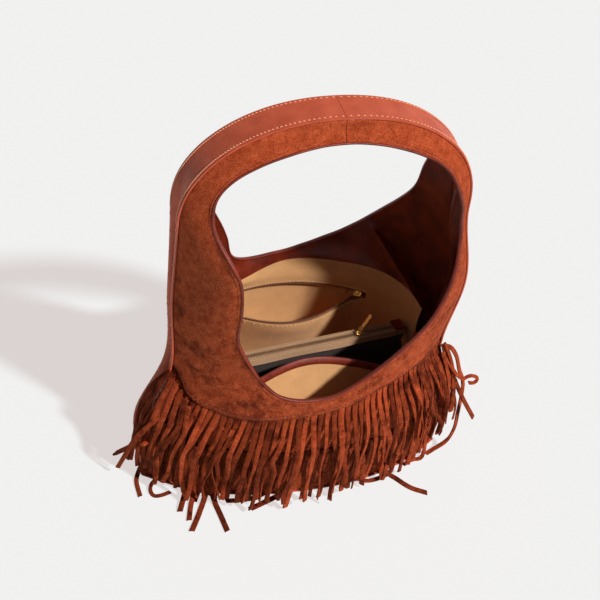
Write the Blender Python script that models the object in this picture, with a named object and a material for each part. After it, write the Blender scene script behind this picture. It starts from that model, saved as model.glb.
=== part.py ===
"""A fringed suede shoulder bag with an open mouth and a divided, lined inside.

Metres, +Z up. The front faces -Y, and the origin is the middle of the flat base,
on the surface that the bag stands on.
"""

import math
import random

import bmesh
import bpy
import numpy as np
from mathutils import Matrix, Vector

# Thicknesses of leather, cloth and tape, and the gap between two layers
SUEDE = 0.0014
LEATHER = 0.0012
FACING = 0.0010
CLOTH = 0.0008
TAPE = 0.0006
GAP = 0.0003

# Half width of the bag seen from the front, at named heights
BASE_HALF = 0.143
HIP_HALF = 0.147
HIP_Z = 0.050
NIP_HALF = 0.127
NIP_Z = 0.120
WAIST_HALF = 0.133
WAIST_Z = 0.200
HANDLE_HALF = 0.125
SHOULDER_Z = 0.290
ARCH_RISE = 0.0938
ARCH_POWER = 2.15

# How far the slumped bag leans to one side at the belly, the waist and the top
BELLY_SWAY = 0.002
BELLY_SWAY_Z = 0.100
WAIST_SWAY = 0.007
SHOULDER_SWAY = -0.003
TOP_SWAY = -0.001

# Gusset strip: its flat width, and how far its two edges are pinched together
STRIP_WIDTH = 0.032
PINCH_HALF = 0.0090
PINCH_Z = 0.205
UNPINCHED_Z = 0.330
SEAM_ALLOWANCE = 0.0032

# Swell of the front and back walls away from the gusset seams
BELLY_Z = 0.130
BASE_SWELL = 0.0435
FRONT_SWELL = 0.060
FRONT_FLAT_Z = 0.3765
FRONT_SWELL_POWER = 3.5
BACK_SWELL = 0.082
BACK_FLAT_Z = 0.350
BACK_SWELL_POWER = 2.15
FLAT_BLEND = 0.0030
LOW_PLAN_POWER = 2.5
HIGH_PLAN_POWER = 4.0
PLAN_EASE_Z = 0.150

# Mouth openings, two upright ovals whose sides slide along the front as they go down
MOUTH_HALF = 0.1030
MOUTH_MIDDLE_Z = 0.3145
MOUTH_TOP_Z = 0.3675
FRONT_MOUTH_LOW_Z = 0.1290
BACK_MOUTH_LOW_Z = 0.1622
MOUTH_LEAN = -0.013
MOUTH_LEAN_Z = 0.270
MOUTH_LEAN_EASE = 0.120
MOUTH_CORNER = math.radians(-44.0)
MOUTH_SHOULDER = math.radians(5.0)
FRONT_MOUTH_LEFT = ((0.160, 0.0), (0.190, -0.001), (0.223, 0.008), (0.260, 0.013), (0.305, -0.001))
FRONT_MOUTH_RIGHT = ((0.145, 0.0), (0.197, 0.0205), (0.260, 0.0235), (0.295, 0.0155), (0.330, 0.001))
BACK_MOUTH_LEFT = ((0.165, 0.0), (0.200, 0.009), (0.235, 0.010), (0.270, 0.005), (0.300, 0.0))
BACK_MOUTH_RIGHT = ((0.165, -0.003), (0.220, -0.002), (0.270, 0.002), (0.300, 0.0))
# Rise and dip of a mouth's bottom edge, from -1 at its left to 1 at its right
FRONT_MOUTH_DIP = ((-0.75, 0.0), (-0.35, -0.0045), (0.0, 0.0))
BACK_MOUTH_DIP = ((-0.80, 0.0), (-0.42, -0.0075), (0.0, 0.004), (0.35, 0.006), (1.0, 0.0))

# Seam between the yoke round the mouth and the body panel below it: its height
# at places across the front, from -1 at the left gusset to 1 at the right one
YOKE_LINE = (
    (-1.0, 0.131),
    (-0.9, 0.112),
    (-0.7, 0.105),
    (-0.3, 0.107),
    (0.1, 0.116),
    (0.4, 0.129),
    (0.7, 0.136),
    (1.0, 0.135),
)
YOKE_LAP = 0.0065
LAP_FADE = 0.018

# Rolled leather binding of the mouth edges
BIND_OUT = 0.0021
BIND_PROUD = 0.0005
BIND_GAP = 0.0004

# Leather facing inside the mouth, and the lining that hangs from it
FACING_INSET = 0.0040
FRONT_LINING_TOP = 0.1200
FRONT_LINING_SLOPE = 0.10
# Height of the back lining's top edge, from the left side to the right
BACK_LINING_RIM = (
    (-0.120, 0.146),
    (-0.040, 0.147),
    (0.010, 0.160),
    (0.050, 0.161),
    (0.090, 0.163),
    (0.115, 0.160),
)
FRONT_LINING_DEPTH = 0.0075
BACK_LINING_DEPTH = 0.0110
BACK_LINING_TOP_DEPTH = 0.0050
BACK_LINING_KNEE_Z = 0.140
BACK_LINING_EASE = 0.020
LINING_SIDE = 0.0085
LINING_POWER = 3.2
LINING_MEET = 0.0004

# Base panel, stiffener board and lining floor
BASE_THICK = 0.0016
BASE_RIM = 0.0006
BOARD_THICK = 0.0020
BOARD_INSET = 0.012

# Zip pocket in the back lining: an arc of zip, open, with its lip hanging forward
ARC_RADIUS = 0.1360
ARC_HALF = 0.084
SLOT_HALF = 0.078
POCKET_ZIP_Z = 0.130
SLOT_UP = 0.0038
LIP_SWING = 0.045
LIP_DROP = 0.0055
LIP_OPEN = 0.88
ZIP_END = 0.0020
POUCH_LOW_Z = 0.036
POUCH_TURN = 0.008
POUCH_CLEAR = 0.0015
LINING_LAP = 0.0020

# Zip chain, slider and pulls
CHAIN_HALF_GAP = 0.0006
CHAIN_TALL = 0.0017
CHAIN_THICK = 0.0020
TAPE_REACH = 0.0075
SLIDER_LONG = 0.0085
SLIDER_WIDE = 0.0064
SLIDER_PLATE = 0.0009
SLIDER_CLEAR = 0.00035
POST_THICK = 0.0006
BAIL_THICK = 0.0012
BAIL_LONG = 0.0055
BAIL_RISE = 0.0032
PULL_LONG = 0.0200
PULL_WIDE = 0.0042
PULL_THICK = 0.0011
PULL_EYE_WIDE = 0.0022
PULL_EYE_LONG = 0.0048
PULL_PIN = 0.0011
POCKET_PULL_LONG = 0.0110
DIVIDER_PULL_LIFT = math.radians(62.0)

# Zipped divider across the middle
DIVIDER_Z = 0.126
DIVIDER_Y = 0.0025
DIVIDER_TURN = math.radians(8.0)
DIVIDER_HALF = 0.0062
DIVIDER_FOOT_HALF = 0.0032
DIVIDER_SLIDER_AT = 0.058
DIVIDER_SIDE_GAP = 0.0012
STOP_LONG = 0.010

# Slip pocket on the front lining
SLIP_LEFT = -0.078
SLIP_RIGHT = 0.090
SLIP_END_Z = 0.112
SLIP_RISE = 0.015
SLIP_LOW_Z = 0.030
SLIP_GAPE = 0.045
SLIP_CLEAR = 0.0012
SLIP_BIND_GAP = 0.0008
SLIP_BIND_TALL = 0.0080
SLIP_BIND_THICK = 0.0010
SLIP_STEPS = 12
SLIP_ROWS = 4

# Fringe: one curtain from the yoke seam, one sparser curtain lower on the body
STRAND_THICK = 0.0012
STRAND_GAP = 0.0009
STRANDS_PER_PANEL = 3
UPPER_LENGTH = 0.094
UPPER_HANG = 0.0068
UPPER_ROWS = 5
UPPER_TIP_Z = 0.0185
HANG_Z = 0.085
STRAND_WAVE = 0.0014
LOWER_STRANDS = 22
LOWER_WIDTH = 0.0058
LOWER_Z = 0.060
LOWER_TIP_Z = 0.013
LOWER_REACH = 0.92
LOWER_HANG = 0.0016
LOWER_ROWS = 6
HEADER_TALL = 0.0050
HEADER_GAP = 0.0007
FLOOR_CLEAR = 0.0004
FLOOR_BEND = 0.011
# Long strands that end on the floor: which strand, its length there, and its turn
LONG_STRANDS = (
    (0, 0.034, -0.75),
    (1, 0.030, -0.55),
    (2, 0.020, -0.35),
    (3, 0.044, -0.15),
    (4, 0.026, 0.05),
    (5, 0.046, 0.25),
    (6, 0.016, 0.30),
    (8, 0.022, -0.50),
    (11, 0.010, 0.20),
    (16, 0.014, 0.30),
    (17, 0.046, 0.75),
)

# Divisions of the curved sheets
ARCH_STEPS = 9
LEG_STEPS = 7
BOTTOM_STEPS = 16
BODY_ROWS = 4
LINING_ROWS = 4
SLOT_STEPS = 16
CORNER_STEPS = 3


# Curves of the bag


def ease(value):
    """Smooth step from 0 to 1."""
    t = np.clip(value, 0.0, 1.0)
    return t * t * (3.0 - 2.0 * t)


def through(z, stations):
    """Smooth curve through (height, value) stations, level at both ends."""
    heights = np.array([s[0] for s in stations])
    values = np.array([s[1] for s in stations])
    slopes = np.gradient(values, heights)
    slopes[0] = 0.0
    slopes[-1] = 0.0
    z = np.clip(z, heights[0], heights[-1])
    k = np.clip(np.searchsorted(heights, z, side="right") - 1, 0, len(heights) - 2)
    span = heights[k + 1] - heights[k]
    t = (z - heights[k]) / span
    rise = t * t * (3.0 - 2.0 * t)
    start_tangent = t * (1.0 - t) ** 2 * span * slopes[k]
    end_tangent = t * t * (t - 1.0) * span * slopes[k + 1]
    return values[k] + rise * (values[k + 1] - values[k]) + start_tangent + end_tangent


def top_z():
    """Height of the gusset seam at the top of the handle."""
    return SHOULDER_Z + ARCH_RISE


def half_width(z):
    """Half width of the outline at height z."""
    stations = (
        (0.0, BASE_HALF),
        (HIP_Z, HIP_HALF),
        (NIP_Z, NIP_HALF),
        (WAIST_Z, WAIST_HALF),
        (SHOULDER_Z, HANDLE_HALF),
    )
    t = np.clip((z - SHOULDER_Z) / ARCH_RISE, 0.0, 1.0)
    arch = HANDLE_HALF * np.maximum(1.0 - t**ARCH_POWER, 1e-9) ** (1.0 / ARCH_POWER)
    return np.where(z < SHOULDER_Z, through(z, stations), arch)


def sway(z):
    """Sideways lean of the bag's centre line at height z."""
    stations = (
        (0.0, 0.0),
        (BELLY_SWAY_Z, BELLY_SWAY),
        (WAIST_Z, WAIST_SWAY),
        (SHOULDER_Z, SHOULDER_SWAY),
        (top_z(), TOP_SWAY),
    )
    return through(z, stations)


def seam_half(z):
    """Half the distance between the front and back gusset seams."""
    pinch = STRIP_WIDTH / 2.0 - PINCH_HALF
    below = ease(z / PINCH_Z)
    above = 1.0 - ease((z - PINCH_Z) / (UNPINCHED_Z - PINCH_Z))
    return STRIP_WIDTH / 2.0 - pinch * np.where(z < PINCH_Z, below, above)


def fold_depth(z):
    """Depth of the gusset's inward fold, from its constant flat width."""
    flat = STRIP_WIDTH / 2.0 - SEAM_ALLOWANCE
    half = seam_half(z) - SEAM_ALLOWANCE
    return np.sqrt(np.maximum(flat**2 - half**2, 0.0))


def swell(z, side):
    """Swell of a wall at its middle."""
    full = FRONT_SWELL if side < 0 else BACK_SWELL
    flat_z = FRONT_FLAT_Z if side < 0 else BACK_FLAT_Z
    power = FRONT_SWELL_POWER if side < 0 else BACK_SWELL_POWER
    rise = np.sin(0.5 * np.pi * np.clip(z / BELLY_Z, 0.0, 1.0))
    fall = full * (1.0 - np.maximum((z - BELLY_Z) / (flat_z - BELLY_Z), 0.0) ** power)
    settled = 0.5 * (fall + np.hypot(fall, FLAT_BLEND))
    return np.where(z < BELLY_Z, BASE_SWELL + (full - BASE_SWELL) * rise, settled)


def plan_power(z):
    """How square the bag is in plan."""
    return LOW_PLAN_POWER + (HIGH_PLAN_POWER - LOW_PLAN_POWER) * ease((z - NIP_Z) / PLAN_EASE_Z)


def wall_y(x, z, side):
    """Outer face of the front (side -1) or back (side 1) wall."""
    across = np.clip(np.abs(x - sway(z)) / half_width(z), 0.0, 1.3)
    return side * (seam_half(z) + swell(z, side) * (1.0 - across ** plan_power(z)))


def wall_point(x, z, side):
    """Point of a wall's outer face."""
    return np.array([x, float(wall_y(x, z, side)), z])


def unit(vector):
    """Vector of length one."""
    return vector / max(np.linalg.norm(vector), 1e-12)


def wall_normal(x, z, side):
    """Outward unit normal of a wall's outer face."""
    step = 0.0005
    across = float(wall_y(x + step, z, side) - wall_y(x - step, z, side)) / (2.0 * step)
    up = float(wall_y(x, z + step, side) - wall_y(x, z - step, side)) / (2.0 * step)
    return unit(np.array([-across * side, side, -up * side]))


def level_normal(x, z, side):
    """Outward normal of a wall, laid level."""
    return unit(wall_normal(x, z, side) * np.array([1.0, 1.0, 0.0]))


def yoke_z(across):
    """Height of the yoke seam, across running from -1 to 1."""
    return float(through(across, YOKE_LINE))


def seam_point(across, side):
    """Point of the yoke seam."""
    z = yoke_z(across)
    x = float(sway(z)) + across * float(half_width(z))
    return wall_point(x, z, side)


def bottom_across(side):
    """Divisions of the yoke seam from right to left, equally long in plan."""
    fine = np.linspace(1.0, -1.0, 241)
    line = np.array([seam_point(a, side) for a in fine])
    steps = np.linalg.norm(np.diff(line[:, :2], axis=0), axis=1)
    length = np.concatenate([[0.0], np.cumsum(steps)])
    return np.interp(np.linspace(0.0, length[-1], BOTTOM_STEPS + 1), length, fine)


def outline_xz(steps_arch, leg_heights):
    """Right half of the gusset seam seen from the front, from the top down."""
    points = []
    for i in range(steps_arch):
        angle = 0.5 * math.pi * (1.0 - i / steps_arch)
        x = HANDLE_HALF * max(math.cos(angle), 0.0) ** (2.0 / ARCH_POWER)
        z = SHOULDER_Z + ARCH_RISE * math.sin(angle) ** (2.0 / ARCH_POWER)
        points.append((x, z))
    for z in leg_heights:
        points.append((float(half_width(z)), z))
    return points


def leg_heights(low):
    """Heights of the leg's divisions, from the shoulder down to low."""
    return [SHOULDER_Z + (low - SHOULDER_Z) * k / LEG_STEPS for k in range(LEG_STEPS + 1)]


def mouth_xz(angle, side):
    """Mouth edge seen from the front, at an angle from its middle."""
    low = FRONT_MOUTH_LOW_Z if side < 0 else BACK_MOUTH_LOW_Z
    reach = MOUTH_TOP_Z if math.sin(angle) > 0 else 2.0 * MOUTH_MIDDLE_Z - low
    z = MOUTH_MIDDLE_Z + (reach - MOUTH_MIDDLE_Z) * math.sin(angle)
    dip = FRONT_MOUTH_DIP if side < 0 else BACK_MOUTH_DIP
    z += float(through(math.cos(angle), dip)) * float(ease(-2.0 * math.sin(angle)))
    left = FRONT_MOUTH_LEFT if side < 0 else BACK_MOUTH_LEFT
    right = FRONT_MOUTH_RIGHT if side < 0 else BACK_MOUTH_RIGHT
    slide = float(through(z, right if math.cos(angle) > 0 else left))
    lean = MOUTH_LEAN * float(ease((MOUTH_LEAN_Z - z) / MOUTH_LEAN_EASE))
    share = float(ease(abs(math.cos(angle)) / 0.3))
    return MOUTH_HALF * math.cos(angle) + float(sway(z)) + lean + slide * share, z


def mouth_angles():
    """Angles of the mouth's divisions: down the right, across the bottom, up the left."""
    top = math.pi / 2.0
    angles = [top + (MOUTH_SHOULDER - top) * k / ARCH_STEPS for k in range(ARCH_STEPS)]
    drop = MOUTH_CORNER - MOUTH_SHOULDER
    angles += [MOUTH_SHOULDER + drop * k / LEG_STEPS for k in range(LEG_STEPS)]
    mirrored = [-math.pi - a for a in angles[::-1]]
    turn = -math.pi - 2.0 * MOUTH_CORNER
    return angles + [MOUTH_CORNER + turn * k / BOTTOM_STEPS for k in range(BOTTOM_STEPS + 1)] + mirrored


# Sheets: grids of points with a thickness


def grid_normals(grid, outward):
    """Unit normals of a grid's points, turned to the side of outward(point)."""
    du = np.gradient(grid, axis=0)
    dv = np.gradient(grid, axis=1)
    normals = np.cross(du, dv)
    normals /= np.maximum(np.linalg.norm(normals, axis=2, keepdims=True), 1e-12)
    middle = normals.shape[0] // 2, normals.shape[1] // 2
    if np.dot(normals[middle], outward) < 0:
        normals = -normals
    return normals


def on_grid(grid, u, v):
    """Point of a grid by straight lines between its nearest points."""
    i = min(int(u), grid.shape[0] - 2)
    j = min(int(v), grid.shape[1] - 2)
    a = u - i
    b = v - j
    near = grid[i, j] * (1 - b) + grid[i, j + 1] * b
    far = grid[i + 1, j] * (1 - b) + grid[i + 1, j + 1] * b
    return near * (1 - a) + far * a


def make_object(name, verts, faces, material):
    """Closed mesh object with its faces pointing out."""
    mesh = bpy.data.meshes.new(name)
    mesh.from_pydata([tuple(float(c) for c in v) for v in verts], [], faces)
    shell = bmesh.new()
    shell.from_mesh(mesh)
    bmesh.ops.remove_doubles(shell, verts=shell.verts, dist=1e-7)
    loose = [v for v in shell.verts if not v.link_faces]
    bmesh.ops.delete(shell, geom=loose, context="VERTS")
    bmesh.ops.recalc_face_normals(shell, faces=shell.faces)
    shell.to_mesh(mesh)
    shell.free()
    mesh.shade_smooth()
    mesh.set_sharp_from_angle(angle=math.radians(40.0))
    mesh.materials.append(material)
    obj = bpy.data.objects.new(name, mesh)
    bpy.context.scene.collection.objects.link(obj)
    return obj


def slab(name, outer, inner, material, mask=None):
    """Sheet between two grids of points; mask leaves cells of it open."""
    nu, nv = outer.shape[0], outer.shape[1]
    count = nu * nv
    verts = list(outer.reshape(-1, 3)) + list(inner.reshape(-1, 3))
    kept = np.ones((nu - 1, nv - 1), bool) if mask is None else mask
    faces = []

    def at(i, j):
        return i * nv + j

    def solid(i, j):
        return 0 <= i < nu - 1 and 0 <= j < nv - 1 and kept[i, j]

    for i in range(nu - 1):
        for j in range(nv - 1):
            if not kept[i, j]:
                continue
            a, b, c, d = at(i, j), at(i + 1, j), at(i + 1, j + 1), at(i, j + 1)
            faces += [(a, b, c), (a, c, d)]
            faces += [(a + count, c + count, b + count), (a + count, d + count, c + count)]
            sides = ((solid(i, j - 1), a, b), (solid(i + 1, j), b, c))
            sides += ((solid(i, j + 1), c, d), (solid(i - 1, j), d, a))
            for covered, p, q in sides:
                if not covered:
                    faces.append((p, q, q + count, p + count))
    return make_object(name, verts, faces, material)


def loft(name, sections, material, closed=False):
    """Solid through equal sections, capped at its ends unless it is a closed ring."""
    rings = len(sections)
    size = len(sections[0])
    verts = [p for section in sections for p in section]
    faces = []
    for i in range(rings if closed else rings - 1):
        k = (i + 1) % rings
        for j in range(size):
            m = (j + 1) % size
            faces.append((i * size + j, k * size + j, k * size + m, i * size + m))
    if not closed:
        faces.append(tuple(range(size)))
        faces.append(tuple((rings - 1) * size + j for j in range(size)))
    return make_object(name, verts, faces, material)


def prism(name, outline, low, high, material):
    """Flat plate with an outline in plan, from height low to height high."""
    sections = [[np.array([x, y, z]) for x, y in outline] for z in (low, high)]
    return loft(name, sections, material)


def offset_line(points, distance):
    """Open plan line moved sideways by distance, to its left."""
    points = [np.array(p[:2], float) for p in points]
    moved = []
    for i, point in enumerate(points):
        before = unit(point - points[i - 1]) if i > 0 else None
        after = unit(points[i + 1] - point) if i < len(points) - 1 else None
        before = after if before is None else before
        after = before if after is None else after
        left = unit(before + after)
        left = np.array([-left[1], left[0]])
        spread = max(np.dot(left, np.array([-before[1], before[0]])), 0.5)
        moved.append(point + left * distance / spread)
    return moved


def box_at(name, centre, axes, size, material):
    """Block with its own three directions."""
    half = [np.asarray(a) * s / 2.0 for a, s in zip(axes, size)]
    signs = ((-1, -1), (1, -1), (1, 1), (-1, 1))
    sections = []
    for end in (-1, 1):
        sections.append([centre + half[0] * i + half[1] * j + half[2] * end for i, j in signs])
    return loft(name, sections, material)


# Front and back: yoke, body panel, mouth binding and facing


def ring_line(side):
    """Outer edge of the yoke: down the right leg, along the seam, up the left leg."""
    right = outline_xz(ARCH_STEPS, leg_heights(yoke_z(1.0)))
    left = outline_xz(ARCH_STEPS, leg_heights(yoke_z(-1.0)))
    line = [(x + float(sway(z)), z) for x, z in right]
    for across in bottom_across(side)[1:-1]:
        point = seam_point(across, side)
        line.append((point[0], point[2]))
    return line + [(float(sway(z)) - x, z) for x, z in left[::-1]]


def ring_grid(side):
    """Yoke and handle band: rows at the outer seam, the lap, the middle and the mouth."""
    edge = [mouth_xz(a, side) for a in mouth_angles()]
    line = ring_line(side)
    grid = np.zeros((len(line), 4, 3))
    normals = np.zeros((len(line), 4, 3))
    for i, (start, end) in enumerate(zip(line, edge)):
        start = np.array(start)
        end = np.array(end)
        deep = YOKE_LAP if first_bottom() <= i <= first_bottom() + BOTTOM_STEPS else FACING_INSET
        first = deep / np.linalg.norm(wall_point(*end, side) - wall_point(*start, side))
        for j, t in enumerate((0.0, first, 0.5 * (1.0 + first), 1.0)):
            x, z = start + (end - start) * t
            grid[i, j] = wall_point(x, z, side)
            normals[i, j] = wall_normal(x, z, side)
    grid[0, :, 0] += GAP / 2.0
    grid[-1, :, 0] -= GAP / 2.0
    return grid, normals


def make_yoke(name, side, material):
    """Suede band over the handle and round the mouth, cut as one piece."""
    grid, normals = ring_grid(side)
    slab(name, grid, grid - normals * SUEDE, material)
    return grid, normals


def first_bottom():
    """First column of a ring grid that lies on the yoke seam."""
    return ARCH_STEPS + LEG_STEPS


def body_heights(across):
    """Heights of the body panel's rows, from the yoke seam to the base."""
    seam = yoke_z(across)
    low = BASE_THICK + GAP
    return [seam + (low - seam) * j / BODY_ROWS for j in range(BODY_ROWS + 1)]


def make_body(name, ring, ring_normals, side, material):
    """Suede panel between the yoke and the base, tucked under the yoke's edge."""
    under = SUEDE + 2.0 * GAP
    if side < 0:
        under = SUEDE + GAP + STRAND_THICK + GAP
    grid = np.zeros((BOTTOM_STEPS + 1, BODY_ROWS + 2, 3))
    normals = np.zeros((BOTTOM_STEPS + 1, BODY_ROWS + 2, 3))
    for k, across in enumerate(bottom_across(side)):
        i = first_bottom() + k
        grid[k, 0] = ring[i, 1] - ring_normals[i, 1] * under
        normals[k, 0] = ring_normals[i, 1]
        for j, z in enumerate(body_heights(across)):
            x = float(sway(z)) + across * float(half_width(z))
            fade = 1.0 - float(ease((yoke_z(across) - z) / LAP_FADE))
            normals[k, j + 1] = wall_normal(x, z, side)
            grid[k, j + 1] = wall_point(x, z, side) - normals[k, j + 1] * under * fade
    inner = grid - normals * SUEDE
    inner[:, -1, 2] = grid[:, -1, 2]
    slab(name, grid, inner, material)
    return grid, normals


def make_binding(name, ring, normals, material):
    """Rolled leather edge along the mouth."""
    depth = SUEDE + GAP + FACING
    profile = (
        (BIND_GAP, BIND_PROUD),
        (0.7 * BIND_OUT, BIND_PROUD),
        (BIND_OUT, -0.5 * depth),
        (0.7 * BIND_OUT, -depth - BIND_PROUD),
        (BIND_GAP, -depth - BIND_PROUD),
    )
    edge = list(ring[1:-1, -1]) + [(ring[0, -1] + ring[-1, -1]) / 2.0]
    outward = list(normals[1:-1, -1]) + [normals[0, -1]]
    inner = list(ring[1:-1, -2]) + [ring[0, -2]]
    sections = []
    for i, point in enumerate(edge):
        along = edge[(i + 1) % len(edge)] - edge[i - 1]
        away = unit(np.cross(along, outward[i]))
        if np.dot(away, point - inner[i]) < 0:
            away = -away
        sections.append([point + away * a + outward[i] * b for a, b in profile])
    loft(name, sections, material, closed=True)


def lining_half(z):
    """Half width of the lining bag at height z."""
    return float(half_width(z) - fold_depth(z)) - LINING_SIDE


def front_lining_point(across, z):
    """Front lining, from -1 to 1 between its side seams."""
    reach = float(seam_half(z) + swell(z, -1)) - FRONT_LINING_DEPTH
    y = LINING_MEET + (reach - LINING_MEET) * (1.0 - abs(across) ** LINING_POWER)
    return np.array([across * lining_half(z), -y, z])


def arc_apex():
    """How far back the pocket zip's arc reaches."""
    return float(seam_half(BELLY_Z)) + BACK_SWELL - BACK_LINING_DEPTH


def arc_y(x):
    """Pocket zip's arc in plan."""
    return arc_apex() - ARC_RADIUS + math.sqrt(ARC_RADIUS**2 - x * x)


def back_columns():
    """Plan positions of the back lining: (kind, value) from the left side to the right."""
    left = [("corner", -k / CORNER_STEPS) for k in range(CORNER_STEPS, 0, -1)]
    right = [("corner", k / CORNER_STEPS) for k in range(1, CORNER_STEPS + 1)]
    slots = [("arc", x) for x in slot_stations()]
    return left + [("arc", -ARC_HALF)] + slots + [("arc", ARC_HALF)] + right


def slot_stations():
    """Places along the pocket zip, from the left end to the right."""
    return [SLOT_HALF * (2.0 * k / SLOT_STEPS - 1.0) for k in range(SLOT_STEPS + 1)]


def back_lining_point(column, z):
    """Back lining before its lip swings forward."""
    reach = float(seam_half(z) + swell(z, 1)) - BACK_LINING_DEPTH
    spread = BACK_LINING_DEPTH - BACK_LINING_TOP_DEPTH
    spread *= float(ease((z - BACK_LINING_KNEE_Z) / BACK_LINING_EASE))
    scale = min(reach / arc_apex(), 1.0) + spread / arc_apex()
    kind, value = column
    if kind == "arc":
        return np.array([value, arc_y(value) * scale, z])
    hand = math.copysign(1.0, value)
    t = abs(value)
    start = np.array([ARC_HALF, arc_y(ARC_HALF) * scale])
    end = np.array([lining_half(z), LINING_MEET])
    control = np.array([lining_half(z), 0.62 * start[1]])
    x, y = (1 - t) ** 2 * start + 2 * t * (1 - t) * control + t * t * end
    return np.array([hand * x, y, z])


def front_lining_top(across):
    """Point of the front lining's top edge."""
    z = FRONT_LINING_TOP + FRONT_LINING_SLOPE * across * lining_half(FRONT_LINING_TOP)
    return front_lining_point(across, z)


def back_lining_top(column):
    """Point of the back lining's top edge."""
    flat = back_lining_point(column, BACK_LINING_KNEE_Z)
    return back_lining_point(column, float(through(flat[0], BACK_LINING_RIM)))


def lining_rim(side):
    """Top edge of one half of the lining in equal steps, from right to left."""
    if side < 0:
        line = [front_lining_top(a) for a in np.linspace(1.0, -1.0, 161)]
    else:
        line = [back_lining_top(("corner", k / 40.0)) for k in range(40, 0, -1)]
        line += [back_lining_top(("arc", x)) for x in np.linspace(ARC_HALF, -ARC_HALF, 81)]
        line += [back_lining_top(("corner", -k / 40.0)) for k in range(1, 41)]
    line = np.array(line)
    length = np.concatenate([[0.0], np.cumsum(np.linalg.norm(np.diff(line, axis=0), axis=1))])
    places = np.linspace(0.0, length[-1], BOTTOM_STEPS + 1)
    return np.array([[np.interp(p, length, line[:, c]) for c in range(3)] for p in places])


def make_facing(name, ring, normals, side, material):
    """Smooth leather inside the mouth and the handle, down to the lining."""
    depth = SUEDE + GAP
    grid = ring[:, 1:] - normals[:, 1:] * depth
    rim = lining_rim(side) + np.array([0.0, 0.0, LINING_MEET + GAP])
    for k in range(BOTTOM_STEPS + 1):
        i = first_bottom() + k
        low, middle, edge = grid[i].copy()
        bulge = middle - 0.5 * (low + edge)
        share = np.linalg.norm(edge - rim[k]) / np.linalg.norm(edge - low)
        grid[i, 0] = rim[k]
        grid[i, 1] = 0.5 * (rim[k] + edge) + bulge * share**2
    slab(name, grid, grid - normals[:, 1:] * FACING, material)


# Gusset


def gusset_profile(z):
    """Section of the gusset's inner face: (inward, across) from front to back."""
    edge = float(seam_half(z)) + BASE_RIM
    flat = float(seam_half(z)) - SEAM_ALLOWANCE
    depth = float(fold_depth(z))
    half = [(0.0, -edge), (0.0, -flat), (0.55 * depth, -0.45 * flat), (depth, 0.0)]
    return half + [(a, -b) for a, b in half[-2::-1]]


def offset_profile(profile, distance):
    """Section moved inward by distance, square to itself."""
    line = [(b, a) for a, b in profile]
    return [(p[1], p[0]) for p in offset_line(line, distance)]


def gusset_frames(hand):
    """Stations down one gusset: a point of the seam line and the inward direction."""
    heights = leg_heights(yoke_z(hand)) + body_heights(hand)[1:]
    points = outline_xz(ARCH_STEPS, heights)
    line = [np.array([hand * x + float(sway(z)), 0.0, z]) for x, z in points]
    frames = []
    for i, point in enumerate(line):
        ahead = line[min(i + 1, len(line) - 1)]
        behind = line[max(i - 1, 0)]
        along = unit(ahead - behind)
        inward = unit(np.array([hand * along[2], 0.0, -hand * along[0]]))
        if i == 0:
            inward = np.array([0.0, 0.0, -1.0])
            point = point + np.array([hand * GAP / 2.0, 0.0, 0.0])
        if i == len(line) - 1:
            inward = np.array([-hand, 0.0, 0.0])
        frames.append((point, inward))
    return frames


def strip_grids(frames, shift, thickness, trim):
    """Two faces of a strip shift inside the seam line, trimmed at its edges."""
    faces = ([], [])
    for point, inward in frames:
        profile = gusset_profile(point[2])
        if trim > 0:
            profile = trimmed(profile[1:-1], trim)
        for face, depth in zip(faces, (shift, shift + thickness)):
            section = offset_profile(profile, depth)
            face.append([point + inward * a + np.array([0.0, b, 0.0]) for a, b in section])
    return np.array(faces[0]), np.array(faces[1])


def trimmed(profile, trim):
    """Section shortened by trim at both ends."""
    line = [np.array(p) for p in profile]
    first = line[0] + unit(line[1] - line[0]) * trim
    last = line[-1] + unit(line[-2] - line[-1]) * trim
    return [tuple(first)] + profile[1:-1] + [tuple(last)]


def make_gusset(side_name, hand, leather, facing):
    """Leather strip that joins front and back, with its inner facing on the handle."""
    frames = gusset_frames(hand)
    outside = -(GAP + LEATHER)
    slab("gusset_" + side_name, *strip_grids(frames, outside, LEATHER, 0.0), leather)
    steps = ARCH_STEPS + LEG_STEPS
    faces = strip_grids(frames[:steps], GAP, FACING, 2.0 * GAP)
    slab("gusset_facing_" + side_name, *faces, facing)


# Base and lining


def base_outline(rim):
    """Plan of the base, rim outside the walls."""
    line = []
    for side in (-1, 1):
        for k in range(BOTTOM_STEPS + 1):
            turn = math.pi * k / BOTTOM_STEPS
            across = side * math.cos(turn)
            y = float(wall_y(across * BASE_HALF, 0.0, side)) + side * rim
            line.append((across * (BASE_HALF + rim), y))
    return line


def make_base(leather, board, cloth):
    """Leather base, the stiffener board on it, and the floor of the lining."""
    rim = LEATHER + 2.0 * GAP
    prism("base_panel", base_outline(rim), 0.0, BASE_THICK, leather)
    low = BASE_THICK + GAP
    prism("base_board", base_outline(-BOARD_INSET), low, low + BOARD_THICK, board)
    floor = low + BOARD_THICK + GAP
    line = []
    for k in range(BOTTOM_STEPS + 1):
        point = front_lining_point(-math.cos(math.pi * k / BOTTOM_STEPS), floor)
        line.append((point[0], point[1] - GAP))
    for column in back_columns()[::-2]:
        point = back_lining_point(column, floor)
        line.append((point[0], point[1] + GAP))
    prism("lining_floor", line, floor, floor + CLOTH, cloth)
    return floor + CLOTH + GAP


def make_front_lining(low, cloth):
    """Front half of the lining bag."""
    grid = np.zeros((BOTTOM_STEPS + 1, LINING_ROWS + 1, 3))
    for k in range(BOTTOM_STEPS + 1):
        across = math.cos(math.pi * k / BOTTOM_STEPS)
        top = front_lining_top(across)[2]
        for j in range(LINING_ROWS + 1):
            z = top + (low - top) * j / LINING_ROWS
            grid[k, j] = front_lining_point(across, z)
    normals = grid_normals(grid, (0.0, -1.0, 0.0))
    normals[:, :, 2] = 0.0
    slab("front_lining", grid + normals * CLOTH, grid, cloth)


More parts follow.
